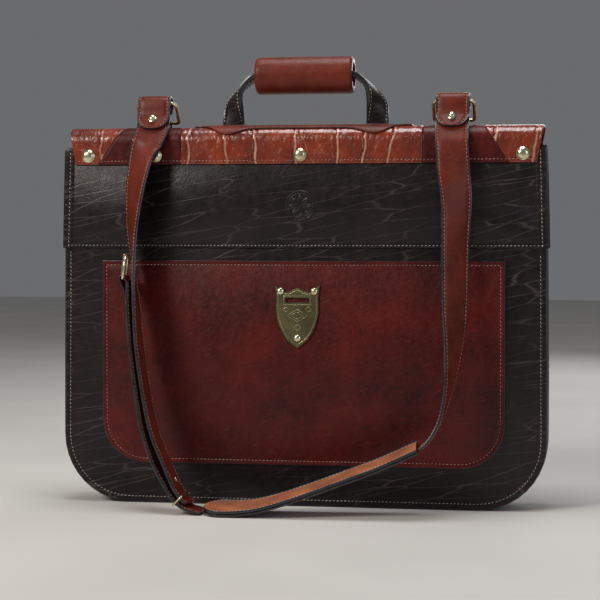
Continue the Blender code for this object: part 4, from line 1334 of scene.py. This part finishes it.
def make_buckle():
    """Horseshoe frame, tongue, the fold that holds its bar, and the keeper ring."""
    lean = Vector((0.13, 0.0, 1.0)).normalized()
    across = Vector((0.17, -1.0, 0.0)).normalized()
    half, straight, corner, rod = 0.0215, 0.013, 0.0140, 0.0015
    arch = arc((half - corner, straight), corner, 0, 90, 12)
    foot = arc((half - 0.003, 0.003), 0.003, -90, 0, 4)
    right = foot + arch
    outline = right + [(-w, v) for w, v in reversed(right)]
    buckle = wire("buckle_horseshoe", [BUCKLE_BAR + across * w + lean * v for w, v in outline],
                  rod, "brass", closed=True)
    place_on(buckle, "shoulder_strap", "bright_brass", "buckle_frame")
    outside = Vector((-1, 0, 0)) * (2 * rod + 0.0004)
    tongue = wire("buckle_prong", [BUCKLE_BAR + outside + lean * 0.0285 * i / 9 for i in range(10)],
                  0.0012, "brass", tapers=[1.0] * 7 + [0.95, 0.8, 0.45])
    place_on(tongue, "buckle_tongue", "bright_brass", "buckle_tongue")
    x, z = BUCKLE_BAR.x, BUCKLE_BAR.z
    path = [(-0.1914, 0.2535), (-0.1921, 0.2570)] + arc((x, z), 0.0031, -10, 190, 12) \
        + [(-0.1991, 0.2555), (-0.1963, 0.2505), (-0.1948, 0.2450), (-0.1942, 0.2400)]
    route, runs, total = respaced([(a, BUCKLE_BAR.y, b) for a, b in path], 0.0007)
    frames = bent_frames(route, (0.12, -1, 0))
    turned_over = band("buckle_bar_fold", frames, runs, total, 0.036, 0.0017,
                       ("strap", "edge", "strap"), groove=0.0028, crown=0.0001)
    place_on(turned_over, "shoulder_strap", "strap_leather")
    away = Vector((0.70, 0.0, 0.714))
    centre = Vector((-0.1250, -0.0983, 0.0155))
    wide, deep, bend = 0.0207, 0.0073, 0.002
    rectangle = arc((wide - bend, deep - bend), bend, 0, 90, 4) \
        + arc((-wide + bend, deep - bend), bend, 90, 180, 4) \
        + arc((-wide + bend, -deep + bend), bend, 180, 270, 4) \
        + arc((wide - bend, -deep + bend), bend, 270, 360, 4)
    keeper = wire("keeper_wire", [centre + Vector((0, w, 0)) + away * v for w, v in rectangle],
                  0.0011, "brass", closed=True)
    place_on(keeper, "shoulder_strap", "bright_brass", "keeper_ring")


def badge_outline(grow=1.0):
    """Shield with a scalloped top and pointed corners, scaled about its middle."""
    top, low = BADGE_TOP, BADGE_TIP
    half, peak = 0.026, 0.0045
    crest = [(0.0, top), (0.004, top - 0.0016), (0.008, top - 0.0039), (0.013, top - 0.0050),
             (0.0175, top - 0.0042), (0.021, top - 0.0012), (0.0238, top + 0.0015),
             (half, top + peak - 0.001)]
    flank = [(0.0246, top - 0.006), (0.0239, top - 0.012), (0.0244, top - 0.020),
             (0.0243, top - 0.027), (0.0232, top - 0.035), (0.0208, top - 0.043),
             (0.0172, top - 0.051), (0.0125, top - 0.0585), (0.0065, top - 0.064)]
    right = crest + flank
    whole = [(px, z) for px, z in right] + [(0.0, low)] + [(-px, z) for px, z in reversed(right[1:])]
    middle = (top + low) / 2 + 0.004
    return [(BADGE_X + px * grow, middle + (z - middle) * grow) for px, z in whole]


def flat_metal(name, outlines, near, thick, bevel, finish):
    """A plate stamped from an outline with any holes, its rims softened."""
    curve = bpy.data.curves.new(name, "CURVE")
    curve.dimensions = "2D"
    curve.fill_mode = "BOTH"
    curve.extrude = thick / 2 - bevel
    curve.bevel_depth = bevel
    curve.offset = -bevel
    curve.bevel_resolution = 2
    for outline in outlines:
        spline = curve.splines.new("POLY")
        spline.points.add(len(outline) - 1)
        for knot, (x, z) in zip(spline.points, outline):
            knot.co = (x, z, 0.0, 1.0)
        spline.use_cyclic_u = True
    flat = bpy.data.objects.new(name, curve)
    bpy.context.scene.collection.objects.link(flat)
    bpy.context.view_layer.update()
    mesh = bpy.data.meshes.new_from_object(
        flat.evaluated_get(bpy.context.evaluated_depsgraph_get()))
    bpy.data.objects.remove(flat)
    shape = bmesh.new()
    shape.from_mesh(mesh)
    bpy.data.meshes.remove(mesh)
    bmesh.ops.remove_doubles(shape, verts=shape.verts, dist=1e-6)
    stand = Matrix.Translation((0, -(near + thick / 2), 0)) @ Matrix.Rotation(math.pi / 2, 4, "X")
    bmesh.ops.transform(shape, matrix=stand, verts=shape.verts)
    return finish_mesh(name, shape, [finish], smooth=35)


def badge_window(half, low, high):
    """A rectangle in the badge's upper part."""
    return [(BADGE_X - half, low), (BADGE_X - half, high),
            (BADGE_X + half, high), (BADGE_X + half, low)]


def make_badge():
    """Shield plate with a raised rim, a slot and a plain lozenge pattern, held by rivets."""
    near, thick = YOKE_IN + POCKET_STAND + LEATHER + GAP, 0.0022
    slot = badge_window(0.0135, 0.2330, 0.2386)
    plate = flat_metal("shield_plate", [badge_outline(), slot], near, thick, 0.0003, "aged")
    place_on(plate, "back_half", "aged_brass", "badge_plate")
    face = near + thick
    lozenges = ((0.0, 0.2185, 0.0120, 0.0070), (0.0, 0.2185, 0.0075, 0.0040),
                (-0.0128, 0.2255, 0.0035, 0.0030), (0.0128, 0.2255, 0.0035, 0.0030),
                (0.0, 0.2050, 0.0040, 0.0035))
    raised = {"rim": badge_outline(0.91), "window": badge_window(0.0155, 0.2308, 0.2408)}
    for i, (dx, z, wide, tall) in enumerate(lozenges, 1):
        raised[f"lozenge_{i}"] = [(BADGE_X + dx + wide * a, z + tall * b)
                                  for a, b in ((1, 0), (0, 1), (-1, 0), (0, -1))]
    for part, outline in raised.items():
        line = wire("shield_" + part, [(px, -face, z) for px, z in outline], 0.00048, "worn",
                    closed=True)
        place_on(line, "back_half", "aged_brass")
    add_rivets("small", "back_half", [((BADGE_X + dx, -face - 0.0001, z), (0, -1, 0))
                                      for dx, z in ((-0.0195, 0.2460), (0.0195, 0.2460),
                                                    (0.0, 0.1925))])


def make_rosette():
    """Round stamp in the yoke: a plain ring of petals pressed into the hide."""
    radius, middle = ROSETTE_RADIUS, ROSETTE_Z
    face = -(YOKE_IN + LEATHER)
    rings, sides = 30, 96
    shape = bmesh.new()
    centre = shape.verts.new((0, face - 0.00035, middle))
    loops = []
    for i in range(1, rings + 1):
        r = radius * i / rings
        loop = []
        for k in range(sides):
            turn = 2 * math.pi * k / sides
            petals = 0.5 + 0.5 * math.cos(8 * turn)
            share = r / radius
            leaf = math.exp(-((share - 0.20 - 0.42 * petals) / 0.07)**2)
            ring = math.exp(-((share - 0.93) / 0.030)**2) + math.exp(-((share - 0.76) / 0.02)**2)
            lift = 0.0003 + 0.0009 * min(leaf + ring, 1.0)
            lift *= min(1.0, (1 - share) / 0.06)
            loop.append(shape.verts.new((r * math.cos(turn), face - lift + 0.00005,
                                         middle + r * math.sin(turn))))
        loops.append(loop)
    raised = face - 0.00065
    for k in range(sides):
        shape.faces.new((centre, loops[0][k], loops[0][(k + 1) % sides]))
    for first, second in zip(loops, loops[1:]):
        for k in range(sides):
            j = (k + 1) % sides
            petal = shape.faces.new((first[k], first[j], second[j], second[k]))
            petal.material_index = int(first[k].co.y < raised)
    shape.faces.new(list(reversed(loops[-1])))
    stamp = finish_mesh("stamped_rosette", shape, ["hide", "rubbed"], smooth=60)
    place_on(stamp, "back_half", "black_leather")


def make_inside():
    """Garment straps, closing magnets, and the hanger with its bracket and board."""
    reach = HALF_WIDTH - GUSSET_THICK - TOP_INSET
    for hand, low in (("upper", 0.220), ("lower", 0.120)):
        middle = low + WEBBING_WIDTH / 2
        path = [(-reach + 2 * reach * i / 60, -0.00275, middle) for i in range(61)]
        route, runs, total = respaced(path, 0.010)
        frames = plane_frames(route, (0, 1, 0))
        strap = band(f"garment_strap_{hand}", frames, runs, total, WEBBING_WIDTH, WEBBING_THICK,
                     ("webbing", "webbing", "webbing"), groove=0.003, crown=0.0001)
        place_on(strap, "back_half", "lining_cloth", "garment_band_" + hand)
        sew_band("back_half", frames, runs, total, WEBBING_WIDTH, WEBBING_THICK, inset=0.003,
                 faces=(1,))
    half_tab, tab_low, tab_high = 0.010, GUSSET_THICK + GAP, 0.020
    corners = [(-half_tab, tab_low, 0.002), (half_tab, tab_low, 0.002),
               (half_tab, tab_high, 0.003), (-half_tab, tab_high, 0.003)]
    for half, (side, body) in HALVES.items():
        tab = cut_hide(half + "_magnet_tab", corners, 0.0008, side,
                       hide_rings(0.004, 0.0010, 0.0022), ("hide", "edge"), wander=0.0)
        place_on(tab, body, "steel", half + "_magnet")
    for node, finish in (("garment_hanger", "wood"), ("hanger_hook", "steel"),
                         ("hanger_bracket", "steel"), ("spine_board", "board")):
        keep_node(node, finish)


def group_sockets(tree, sockets):
    """Adds named inputs to a node group and returns their identifiers by name."""
    tree.interface.new_socket("Geometry", in_out="INPUT", socket_type="NodeSocketGeometry")
    found = {}
    for name, kind in sockets:
        found[name] = tree.interface.new_socket(name, in_out="INPUT",
                                                socket_type=kind).identifier
    tree.interface.new_socket("Geometry", in_out="OUTPUT", socket_type="NodeSocketGeometry")
    return found


def stitching_tree():
    """Lays waxed stitches along sewn lines at an even pitch, each turned to its face."""
    tree = bpy.data.node_groups.new("saddle_stitching", "GeometryNodeTree")
    found = group_sockets(tree, (("Pitch", "NodeSocketFloat"), ("Length", "NodeSocketFloat"),
                                 ("Thickness", "NodeSocketFloat"), ("Slant", "NodeSocketFloat"),
                                 ("Thread", "NodeSocketMaterial")))
    given = add(tree, "NodeGroupInput").outputs
    lines = add(tree, "GeometryNodeMeshToCurve", in0=given["Geometry"])
    spaced = add(tree, "GeometryNodeResampleCurve", {"mode": "LENGTH"},
                 Curve=lines.outputs[0], Length=given["Pitch"])
    tangent = add(tree, "GeometryNodeInputTangent").outputs[0]
    facing = add(tree, "GeometryNodeInputNamedAttribute", {"data_type": "FLOAT_VECTOR"},
                 Name="facing").outputs[0]
    along = add(tree, "FunctionNodeAlignRotationToVector", {"axis": "X"}, Vector=tangent)
    stood = add(tree, "FunctionNodeAlignRotationToVector", {"axis": "Z", "pivot_axis": "X"},
                Rotation=along.outputs[0], Vector=facing)
    slant = add(tree, "ShaderNodeCombineXYZ", in2=given["Slant"])
    turned_over = add(tree, "FunctionNodeRotateRotation", {"rotation_space": "LOCAL"},
                      Rotation=stood.outputs[0], in1=slant.outputs[0])
    bead = add(tree, "GeometryNodeMeshUVSphere", Segments=6, Rings=4, Radius=0.5)
    size = add(tree, "ShaderNodeCombineXYZ", in0=given["Length"], in1=given["Thickness"],
               in2=given["Thickness"])
    stitch = add(tree, "GeometryNodeTransform", Geometry=bead.outputs["Mesh"],
                 Scale=size.outputs[0])
    laid = add(tree, "GeometryNodeInstanceOnPoints", Points=spaced.outputs[0],
               Instance=stitch.outputs[0], Rotation=turned_over.outputs[0])
    real = add(tree, "GeometryNodeRealizeInstances", in0=laid.outputs[0])
    waxed = add(tree, "GeometryNodeSetMaterial", Geometry=real.outputs[0],
                Material=given["Thread"])
    add(tree, "NodeGroupOutput", in0=waxed.outputs[0])
    return tree, found


def rivet_tree():
    """Sets a rivet head on every point, its axis along the point's facing."""
    tree = bpy.data.node_groups.new("rivet_setting", "GeometryNodeTree")
    found = group_sockets(tree, (("Head", "NodeSocketObject"), ("Metal", "NodeSocketMaterial")))
    given = add(tree, "NodeGroupInput").outputs
    facing = add(tree, "GeometryNodeInputNamedAttribute", {"data_type": "FLOAT_VECTOR"},
                 Name="facing").outputs[0]
    turned_up = add(tree, "FunctionNodeAlignRotationToVector", {"axis": "Z"}, Vector=facing)
    head = add(tree, "GeometryNodeObjectInfo", Object=given["Head"])
    laid = add(tree, "GeometryNodeInstanceOnPoints", Points=given["Geometry"],
               Instance=head.outputs["Geometry"], Rotation=turned_up.outputs[0])
    real = add(tree, "GeometryNodeRealizeInstances", in0=laid.outputs[0])
    shiny = add(tree, "GeometryNodeSetMaterial", Geometry=real.outputs[0],
                Material=given["Metal"])
    add(tree, "NodeGroupOutput", in0=shiny.outputs[0])
    return tree, found


def grown(name, tree, found, values, verts, edges, facings):
    """Runs a node group on a mesh of lines or points and keeps the plain mesh it makes."""
    seed = bpy.data.meshes.new(name)
    seed.from_pydata(verts, edges, [])
    attribute = seed.attributes.new("facing", "FLOAT_VECTOR", "POINT")
    attribute.data.foreach_set("vector", [c for facing in facings for c in facing])
    piece = bpy.data.objects.new(name, seed)
    bpy.context.scene.collection.objects.link(piece)
    modifier = piece.modifiers.new(tree.name, "NODES")
    modifier.node_group = tree
    for key, value in values.items():
        modifier[found[key]] = value
    bpy.context.view_layer.update()
    graph = bpy.context.evaluated_depsgraph_get()
    mesh = bpy.data.meshes.new_from_object(piece.evaluated_get(graph))
    piece.modifiers.clear()
    piece.data = mesh
    bpy.data.meshes.remove(seed)
    mesh.shade_smooth()
    if not mesh.polygons:
        raise RuntimeError(name + " came out empty")
    return piece


def sew(craft):
    """All stitches, one mesh for each body and thread."""
    tree, found = stitching_tree()
    for (body, thread), lines in stitch_lines.items():
        verts, edges, facings = [], [], []
        for points, normals, closed in lines:
            if len(points) < 2:
                continue
            start = len(verts)
            verts += points
            facings += normals
            edges += [(start + i, start + i + 1) for i in range(len(points) - 1)]
            if closed:
                edges.append((len(verts) - 1, start))
        values = {"Pitch": craft.stitch_pitch, "Length": craft.stitch_length,
                  "Thickness": craft.thread_thickness, "Slant": craft.stitch_slant,
                  "Thread": FINISHES[thread]}
        piece = grown(f"stitches_{body}", tree, found, values, verts, edges, facings)
        place_on(piece, body, "black_leather")


RIVET_HEADS = {
    # Domed cap on a thin skirt.
    "dome": [(0.0075, 0.0), (0.0075, 0.0005), (0.0070, 0.0009), (0.0066, 0.0012),
             (0.0058, 0.0022), (0.0044, 0.0030), (0.0024, 0.0035), (0.0, 0.0036)],
    # Small domed cap.
    "small": [(0.0042, 0.0), (0.0042, 0.0004), (0.0037, 0.0009), (0.0028, 0.0015),
              (0.0015, 0.0019), (0.0, 0.0020)],
    # Ball on a neck, over a washer.
    "stud": [(0.0045, 0.0), (0.0045, 0.0007), (0.0036, 0.0012), (0.0026, 0.0014),
             (0.0025, 0.0017), (0.0033, 0.0022), (0.0037, 0.0030), (0.0035, 0.0038),
             (0.0026, 0.0046), (0.0013, 0.00495), (0.0, 0.0050)],
    # Burr of the tail's rivet.
    "burr": [(0.0032, 0.0), (0.0032, 0.0004), (0.0027, 0.0009), (0.0018, 0.0015), (0.0, 0.0018)],
}


def set_rivets():
    """All rivets and studs, one mesh for each kind and body."""
    tree, found = rivet_tree()
    nodes = {
        ("dome", "back_half"): [f"saddle_rivet_{i}" for i in range(1, 6)],
        ("dome", "front_half"): [f"front_rivet_{i}" for i in range(1, 6)],
        ("small", "back_half"): ["badge_rivet_left", "badge_rivet_right", "badge_rivet_tip"],
        ("stud", "shoulder_strap"): ["stud_left", "stud_right"],
        ("burr", "shoulder_strap"): ["strap_rivet"],
    }
    for (kind, body), spots in rivet_spots.items():
        shape = turned(RIVET_HEADS[kind], 28)
        bmesh.ops.recalc_face_normals(shape, faces=shape.faces)
        mesh = bpy.data.meshes.new(kind + "_head")
        shape.to_mesh(mesh)
        shape.free()
        mesh.shade_smooth()
        head = bpy.data.objects.new(kind + "_head", mesh)
        bpy.context.scene.collection.objects.link(head)
        values = {"Head": head, "Metal": FINISHES["brass"]}
        piece = grown(f"{kind}_rivets_{body}", tree, found, values,
                      [place for place, _ in spots], [], [facing for _, facing in spots])
        bpy.data.objects.remove(head)
        piece.data.set_sharp_from_angle(angle=math.radians(50))
        place_on(piece, body, "bright_brass", *nodes[(kind, body)])


def plan_rivets():
    """Where each rivet and stud goes."""
    lift = 0.0001
    add_rivets("dome", "back_half", [((x, -SADDLE_OUT - lift, DOME_Z), (0, -1, 0))
                                     for x in DOME_X])
    add_rivets("dome", "front_half", [((x, SADDLE_OUT + lift, DOME_Z), (0, 1, 0))
                                      for x in DOME_X])
    for side in (-1, 1):
        centre, down, out = fold_frame(side)
        rise = STRAP_THICK / 2 + GAP + STRAP_THICK / 2 + 0.0001
        add_rivets("stud", "shoulder_strap", [(centre + down * STUD_DROP + out * rise, out)])
    face = Vector((0.88, 0.0, 0.47)).normalized()
    place = Vector((-0.1335, -0.0930, 0.0350)) + face * (STRAP_THICK / 2)
    add_rivets("burr", "shoulder_strap", [(place, face),
                                          (Vector((-0.1953, -0.0700, 0.2470)), (-1, 0, 0))])


def paper_floor():
    """Pale seamless paper, so faintly uneven that it only softens the shadows."""
    material, tree, shader = blank_material("seamless_paper", Specular_IOR_Level=0.2)
    place = add(tree, "ShaderNodeTexCoord").outputs["Object"]
    tooth = add(tree, "ShaderNodeTexNoise", Vector=place, Scale=3.0, Detail=2.0).outputs["Fac"]
    tree.links.new(tone(tree, tooth, "#CFCDC9", "#D8D6D2"), shader.inputs["Base Color"])
    shader.inputs["Roughness"].default_value = 0.85
    return material


def make_stage(look):
    """Floor, soft lights and the camera."""
    shape = bmesh.new()
    bmesh.ops.create_grid(shape, x_segments=4, y_segments=4, size=6.0)
    mesh = bpy.data.meshes.new("studio_floor")
    shape.to_mesh(mesh)
    shape.free()
    mesh.materials.append(paper_floor())
    floor = bpy.data.objects.new("studio_floor", mesh)
    bpy.context.scene.collection.objects.link(floor)
    floor.location.z = -0.0005
    world = bpy.data.worlds.new("studio_air")
    world.use_nodes = True
    air = world.node_tree.nodes["Background"]
    air.inputs["Color"].default_value = linear("#DDDEE2")
    air.inputs["Strength"].default_value = look.air_strength
    bpy.context.scene.world = world
    bpy.context.scene.view_settings.view_transform = "Standard"
    lamps = (
        ("key_light", (-1.50, -1.70, 1.60), 0.9, look.key_power, "#FFF6EC"),
        ("fill_light", (1.90, -1.60, 0.90), 1.2, look.key_power * 0.22, "#F2F5FF"),
        ("top_light", (0.00, -0.10, 2.00), 0.9, look.key_power * 0.45, "#FFFFFF"),
        ("back_light", (0.60, 2.00, 1.20), 1.4, look.key_power * 0.28, "#FFFFFF"),
    )
    for name, place, size, power, colour in lamps:
        lamp = bpy.data.lights.new(name, "AREA")
        lamp.shape = "DISK"
        lamp.size = size
        lamp.energy = power
        lamp.color = linear(colour)[:3]
        holder = bpy.data.objects.new(name, lamp)
        bpy.context.scene.collection.objects.link(holder)
        holder.location = place
        aim = Vector((0, 0, 0.22)) - Vector(place)
        holder.rotation_euler = aim.to_track_quat("-Z", "Y").to_euler()
    eye = bpy.data.cameras.new("view_camera")
    eye.lens = look.lens
    eye.sensor_width = 36.0
    camera = bpy.data.objects.new("view_camera", eye)
    bpy.context.scene.collection.objects.link(camera)
    camera.location = look.eye
    camera.rotation_euler = (math.pi / 2 - look.pitch, 0.0, look.yaw)
    bpy.context.scene.camera = camera


class BagCraft(bpy.types.PropertyGroup):
    """Sizes that a leather worker would choose."""

    edge_radius: bpy.props.FloatProperty(
        name="Edge radius", description="How far a thick hide's cut edges are rounded",
        default=0.0011, min=0.0002, unit="LENGTH")
    stitch_inset: bpy.props.FloatProperty(
        name="Stitch inset", description="From a panel's edge to its stitches",
        default=0.0070, min=0.002, unit="LENGTH")
    crease_inset: bpy.props.FloatProperty(
        name="Crease inset", description="From a yoke's edge to its pressed line",
        default=0.0120, min=0.002, unit="LENGTH")
    pocket_inset: bpy.props.FloatProperty(
        name="Pocket stitch inset", description="From a pocket's edge to its stitches",
        default=0.0050, min=0.002, unit="LENGTH")
    stitch_pitch: bpy.props.FloatProperty(
        name="Stitch pitch", description="From one stitch to the next",
        default=0.0043, min=0.002, unit="LENGTH")
    stitch_length: bpy.props.FloatProperty(
        name="Stitch length", description="Thread that shows in each stitch",
        default=0.0031, min=0.001, unit="LENGTH")
    thread_thickness: bpy.props.FloatProperty(
        name="Thread thickness", description="Across the waxed thread",
        default=0.0008, min=0.0003, unit="LENGTH")
    stitch_slant: bpy.props.FloatProperty(
        name="Stitch slant", description="How far each stitch leans from its line",
        default=math.radians(14), subtype="ANGLE")


def colour_property(name, description, default):
    return bpy.props.FloatVectorProperty(name=name, description=description, size=4,
                                         subtype="COLOR", min=0.0, max=1.0,
                                         default=linear(default))


class BagColours(bpy.types.PropertyGroup):
    """Colours of the hides."""

    hide_dark: colour_property("Body hide, dark", "Deep tone of the body's hide", "#120E0F")
    hide_light: colour_property("Body hide, light", "Light tone of the body's hide", "#241C1D")
    pocket_dark: colour_property("Pocket, dark", "Deep tone of the pockets", "#300807")
    pocket_light: colour_property("Pocket, light", "Light tone of the pockets", "#5A140F")
    strap_dark: colour_property("Strap, dark", "Deep tone of straps and grip", "#4C180F")
    strap_light: colour_property("Strap, light", "Light tone of straps and grip", "#702A1A")
    scale_dark: colour_property("Scaled hide, dark", "Deep tone of the scaled hide", "#4C0F03")
    scale_light: colour_property("Scaled hide, light", "Light tone of the scaled hide", "#90340C")
    suede_dark: colour_property("Suede, dark", "Nap turned away", "#7A3E20")
    suede_light: colour_property("Suede, light", "Nap turned towards the light", "#A6623A")


class BagStudio(bpy.types.PropertyGroup):
    """Light and camera."""

    eye: bpy.props.FloatVectorProperty(
        name="Camera place", description="Where the camera stands", default=(0.3240, -1.9588, 0.3162),
        subtype="TRANSLATION", unit="LENGTH")
    yaw: bpy.props.FloatProperty(
        name="Camera yaw", description="Turn about the vertical", default=math.radians(9.37),
        subtype="ANGLE")
    pitch: bpy.props.FloatProperty(
        name="Camera pitch", description="How far it looks down", default=math.radians(2.30),
        subtype="ANGLE")
    lens: bpy.props.FloatProperty(
        name="Lens", description="Focal length on a 36 mm sensor", default=105.05,
        min=10.0, unit="CAMERA")
    air_strength: bpy.props.FloatProperty(
        name="Air strength", description="Light from all round", default=0.20, min=0.0)
    key_power: bpy.props.FloatProperty(
        name="Key power", description="Power of the main light", default=38.0, min=0.0,
        unit="POWER")


class GARMENTBAG_OT_finishes(bpy.types.Operator):
    """Mixes every finish of the bag"""

    bl_idname = "garment_bag.finishes"
    bl_label = "Finishes"

    def execute(self, context):
        make_finishes()
        return {"FINISHED"}


class GARMENTBAG_OT_panels(bpy.types.Operator):
    """Cuts the panels, yokes, gussets and linings of both halves"""

    bl_idname = "garment_bag.panels"
    bl_label = "Panels, gussets and linings"

    def execute(self, context):
        for half in HALVES:
            make_panels(half, context.scene.garment_bag_craft)
            make_gussets(half)
            make_lining(half)
        return {"FINISHED"}


class GARMENTBAG_OT_pockets(bpy.types.Operator):
    """Sews a patch pocket on each half"""

    bl_idname = "garment_bag.pockets"
    bl_label = "Patch pockets"

    def execute(self, context):
        for half in HALVES:
            make_pocket(half, context.scene.garment_bag_craft)
        return {"FINISHED"}


class GARMENTBAG_OT_saddle(bpy.types.Operator):
    """Lays the saddle's hides over the top and hangs its front strip"""

    bl_idname = "garment_bag.saddle"
    bl_label = "Saddle"

    def execute(self, context):
        make_saddle_hides()
        make_front_strip()
        make_handle_patch()
        return {"FINISHED"}


class GARMENTBAG_OT_marks(bpy.types.Operator):
    """Adds the shield plate and the stamped rosette"""

    bl_idname = "garment_bag.marks"
    bl_label = "Shield and rosette"

    def execute(self, context):
        make_badge()
        make_rosette()
        return {"FINISHED"}


class GARMENTBAG_OT_handle(bpy.types.Operator):
    """Makes the handle's strap and its wound grip"""

    bl_idname = "garment_bag.handle"
    bl_label = "Handle"

    def execute(self, context):
        make_handle_strap()
        make_grip()
        return {"FINISHED"}


class GARMENTBAG_OT_strap(bpy.types.Operator):
    """Hangs the shoulder strap with its pad, rings and buckle"""

    bl_idname = "garment_bag.strap"
    bl_label = "Shoulder strap"

    def execute(self, context):
        make_rings()
        make_strap_runs()
        make_pad()
        make_buckle()
        return {"FINISHED"}


class GARMENTBAG_OT_inside(bpy.types.Operator):
    """Fits the hanger, garment straps and magnets"""

    bl_idname = "garment_bag.inside"
    bl_label = "Inside"

    def execute(self, context):
        make_inside()
        return {"FINISHED"}


class GARMENTBAG_OT_rivets(bpy.types.Operator):
    """Sets the domed rivets and the ball studs"""

    bl_idname = "garment_bag.rivets"
    bl_label = "Rivets and studs"

    def execute(self, context):
        plan_rivets()
        set_rivets()
        return {"FINISHED"}


class GARMENTBAG_OT_stitches(bpy.types.Operator):
    """Sews every line that the other pieces asked for"""

    bl_idname = "garment_bag.stitches"
    bl_label = "Stitches"

    def execute(self, context):
        if not stitch_lines:
            self.report({"ERROR"}, "There are no sewn lines yet")
            raise RuntimeError("There are no sewn lines yet")
        sew(context.scene.garment_bag_craft)
        return {"FINISHED"}


class GARMENTBAG_OT_stage(bpy.types.Operator):
    """Adds the floor, the lights and the camera"""

    bl_idname = "garment_bag.stage"
    bl_label = "Stage"

    def execute(self, context):
        make_stage(context.scene.garment_bag_studio)
        return {"FINISHED"}


STEPS = (GARMENTBAG_OT_finishes, GARMENTBAG_OT_panels, GARMENTBAG_OT_pockets,
         GARMENTBAG_OT_saddle, GARMENTBAG_OT_marks, GARMENTBAG_OT_handle, GARMENTBAG_OT_strap,
         GARMENTBAG_OT_inside, GARMENTBAG_OT_rivets, GARMENTBAG_OT_stitches,
         GARMENTBAG_OT_stage)


class GARMENTBAG_PT_panel(bpy.types.Panel):
    """The bag's sizes, colours and steps"""

    bl_idname = "GARMENTBAG_PT_panel"
    bl_label = "Garment Bag"
    bl_space_type = "VIEW_3D"
    bl_region_type = "UI"
    bl_category = "Garment Bag"

    def draw(self, context):
        for group in ("garment_bag_craft", "garment_bag_colours", "garment_bag_studio"):
            box = self.layout.box()
            values = getattr(context.scene, group)
            for key in values.bl_rna.properties.keys():
                if key not in ("rna_type", "name"):
                    box.prop(values, key)
        column = self.layout.column(align=True)
        for step in STEPS:
            column.operator(step.bl_idname)


CLASSES = (BagCraft, BagColours, BagStudio) + STEPS + (GARMENTBAG_PT_panel,)
GROUPS = {"garment_bag_craft": BagCraft, "garment_bag_colours": BagColours,
          "garment_bag_studio": BagStudio}


def register():
    for each in CLASSES:
        bpy.utils.register_class(each)
    for name, group in GROUPS.items():
        setattr(bpy.types.Scene, name, bpy.props.PointerProperty(type=group))


def unregister():
    for name in GROUPS:
        delattr(bpy.types.Scene, name)
    for each in reversed(CLASSES):
        bpy.utils.unregister_class(each)


def main():
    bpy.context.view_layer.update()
    register()
    for step in STEPS:
        space, name = step.bl_idname.split(".")
        getattr(getattr(bpy.ops, space), name)()


if __name__ == "__main__":
    main()
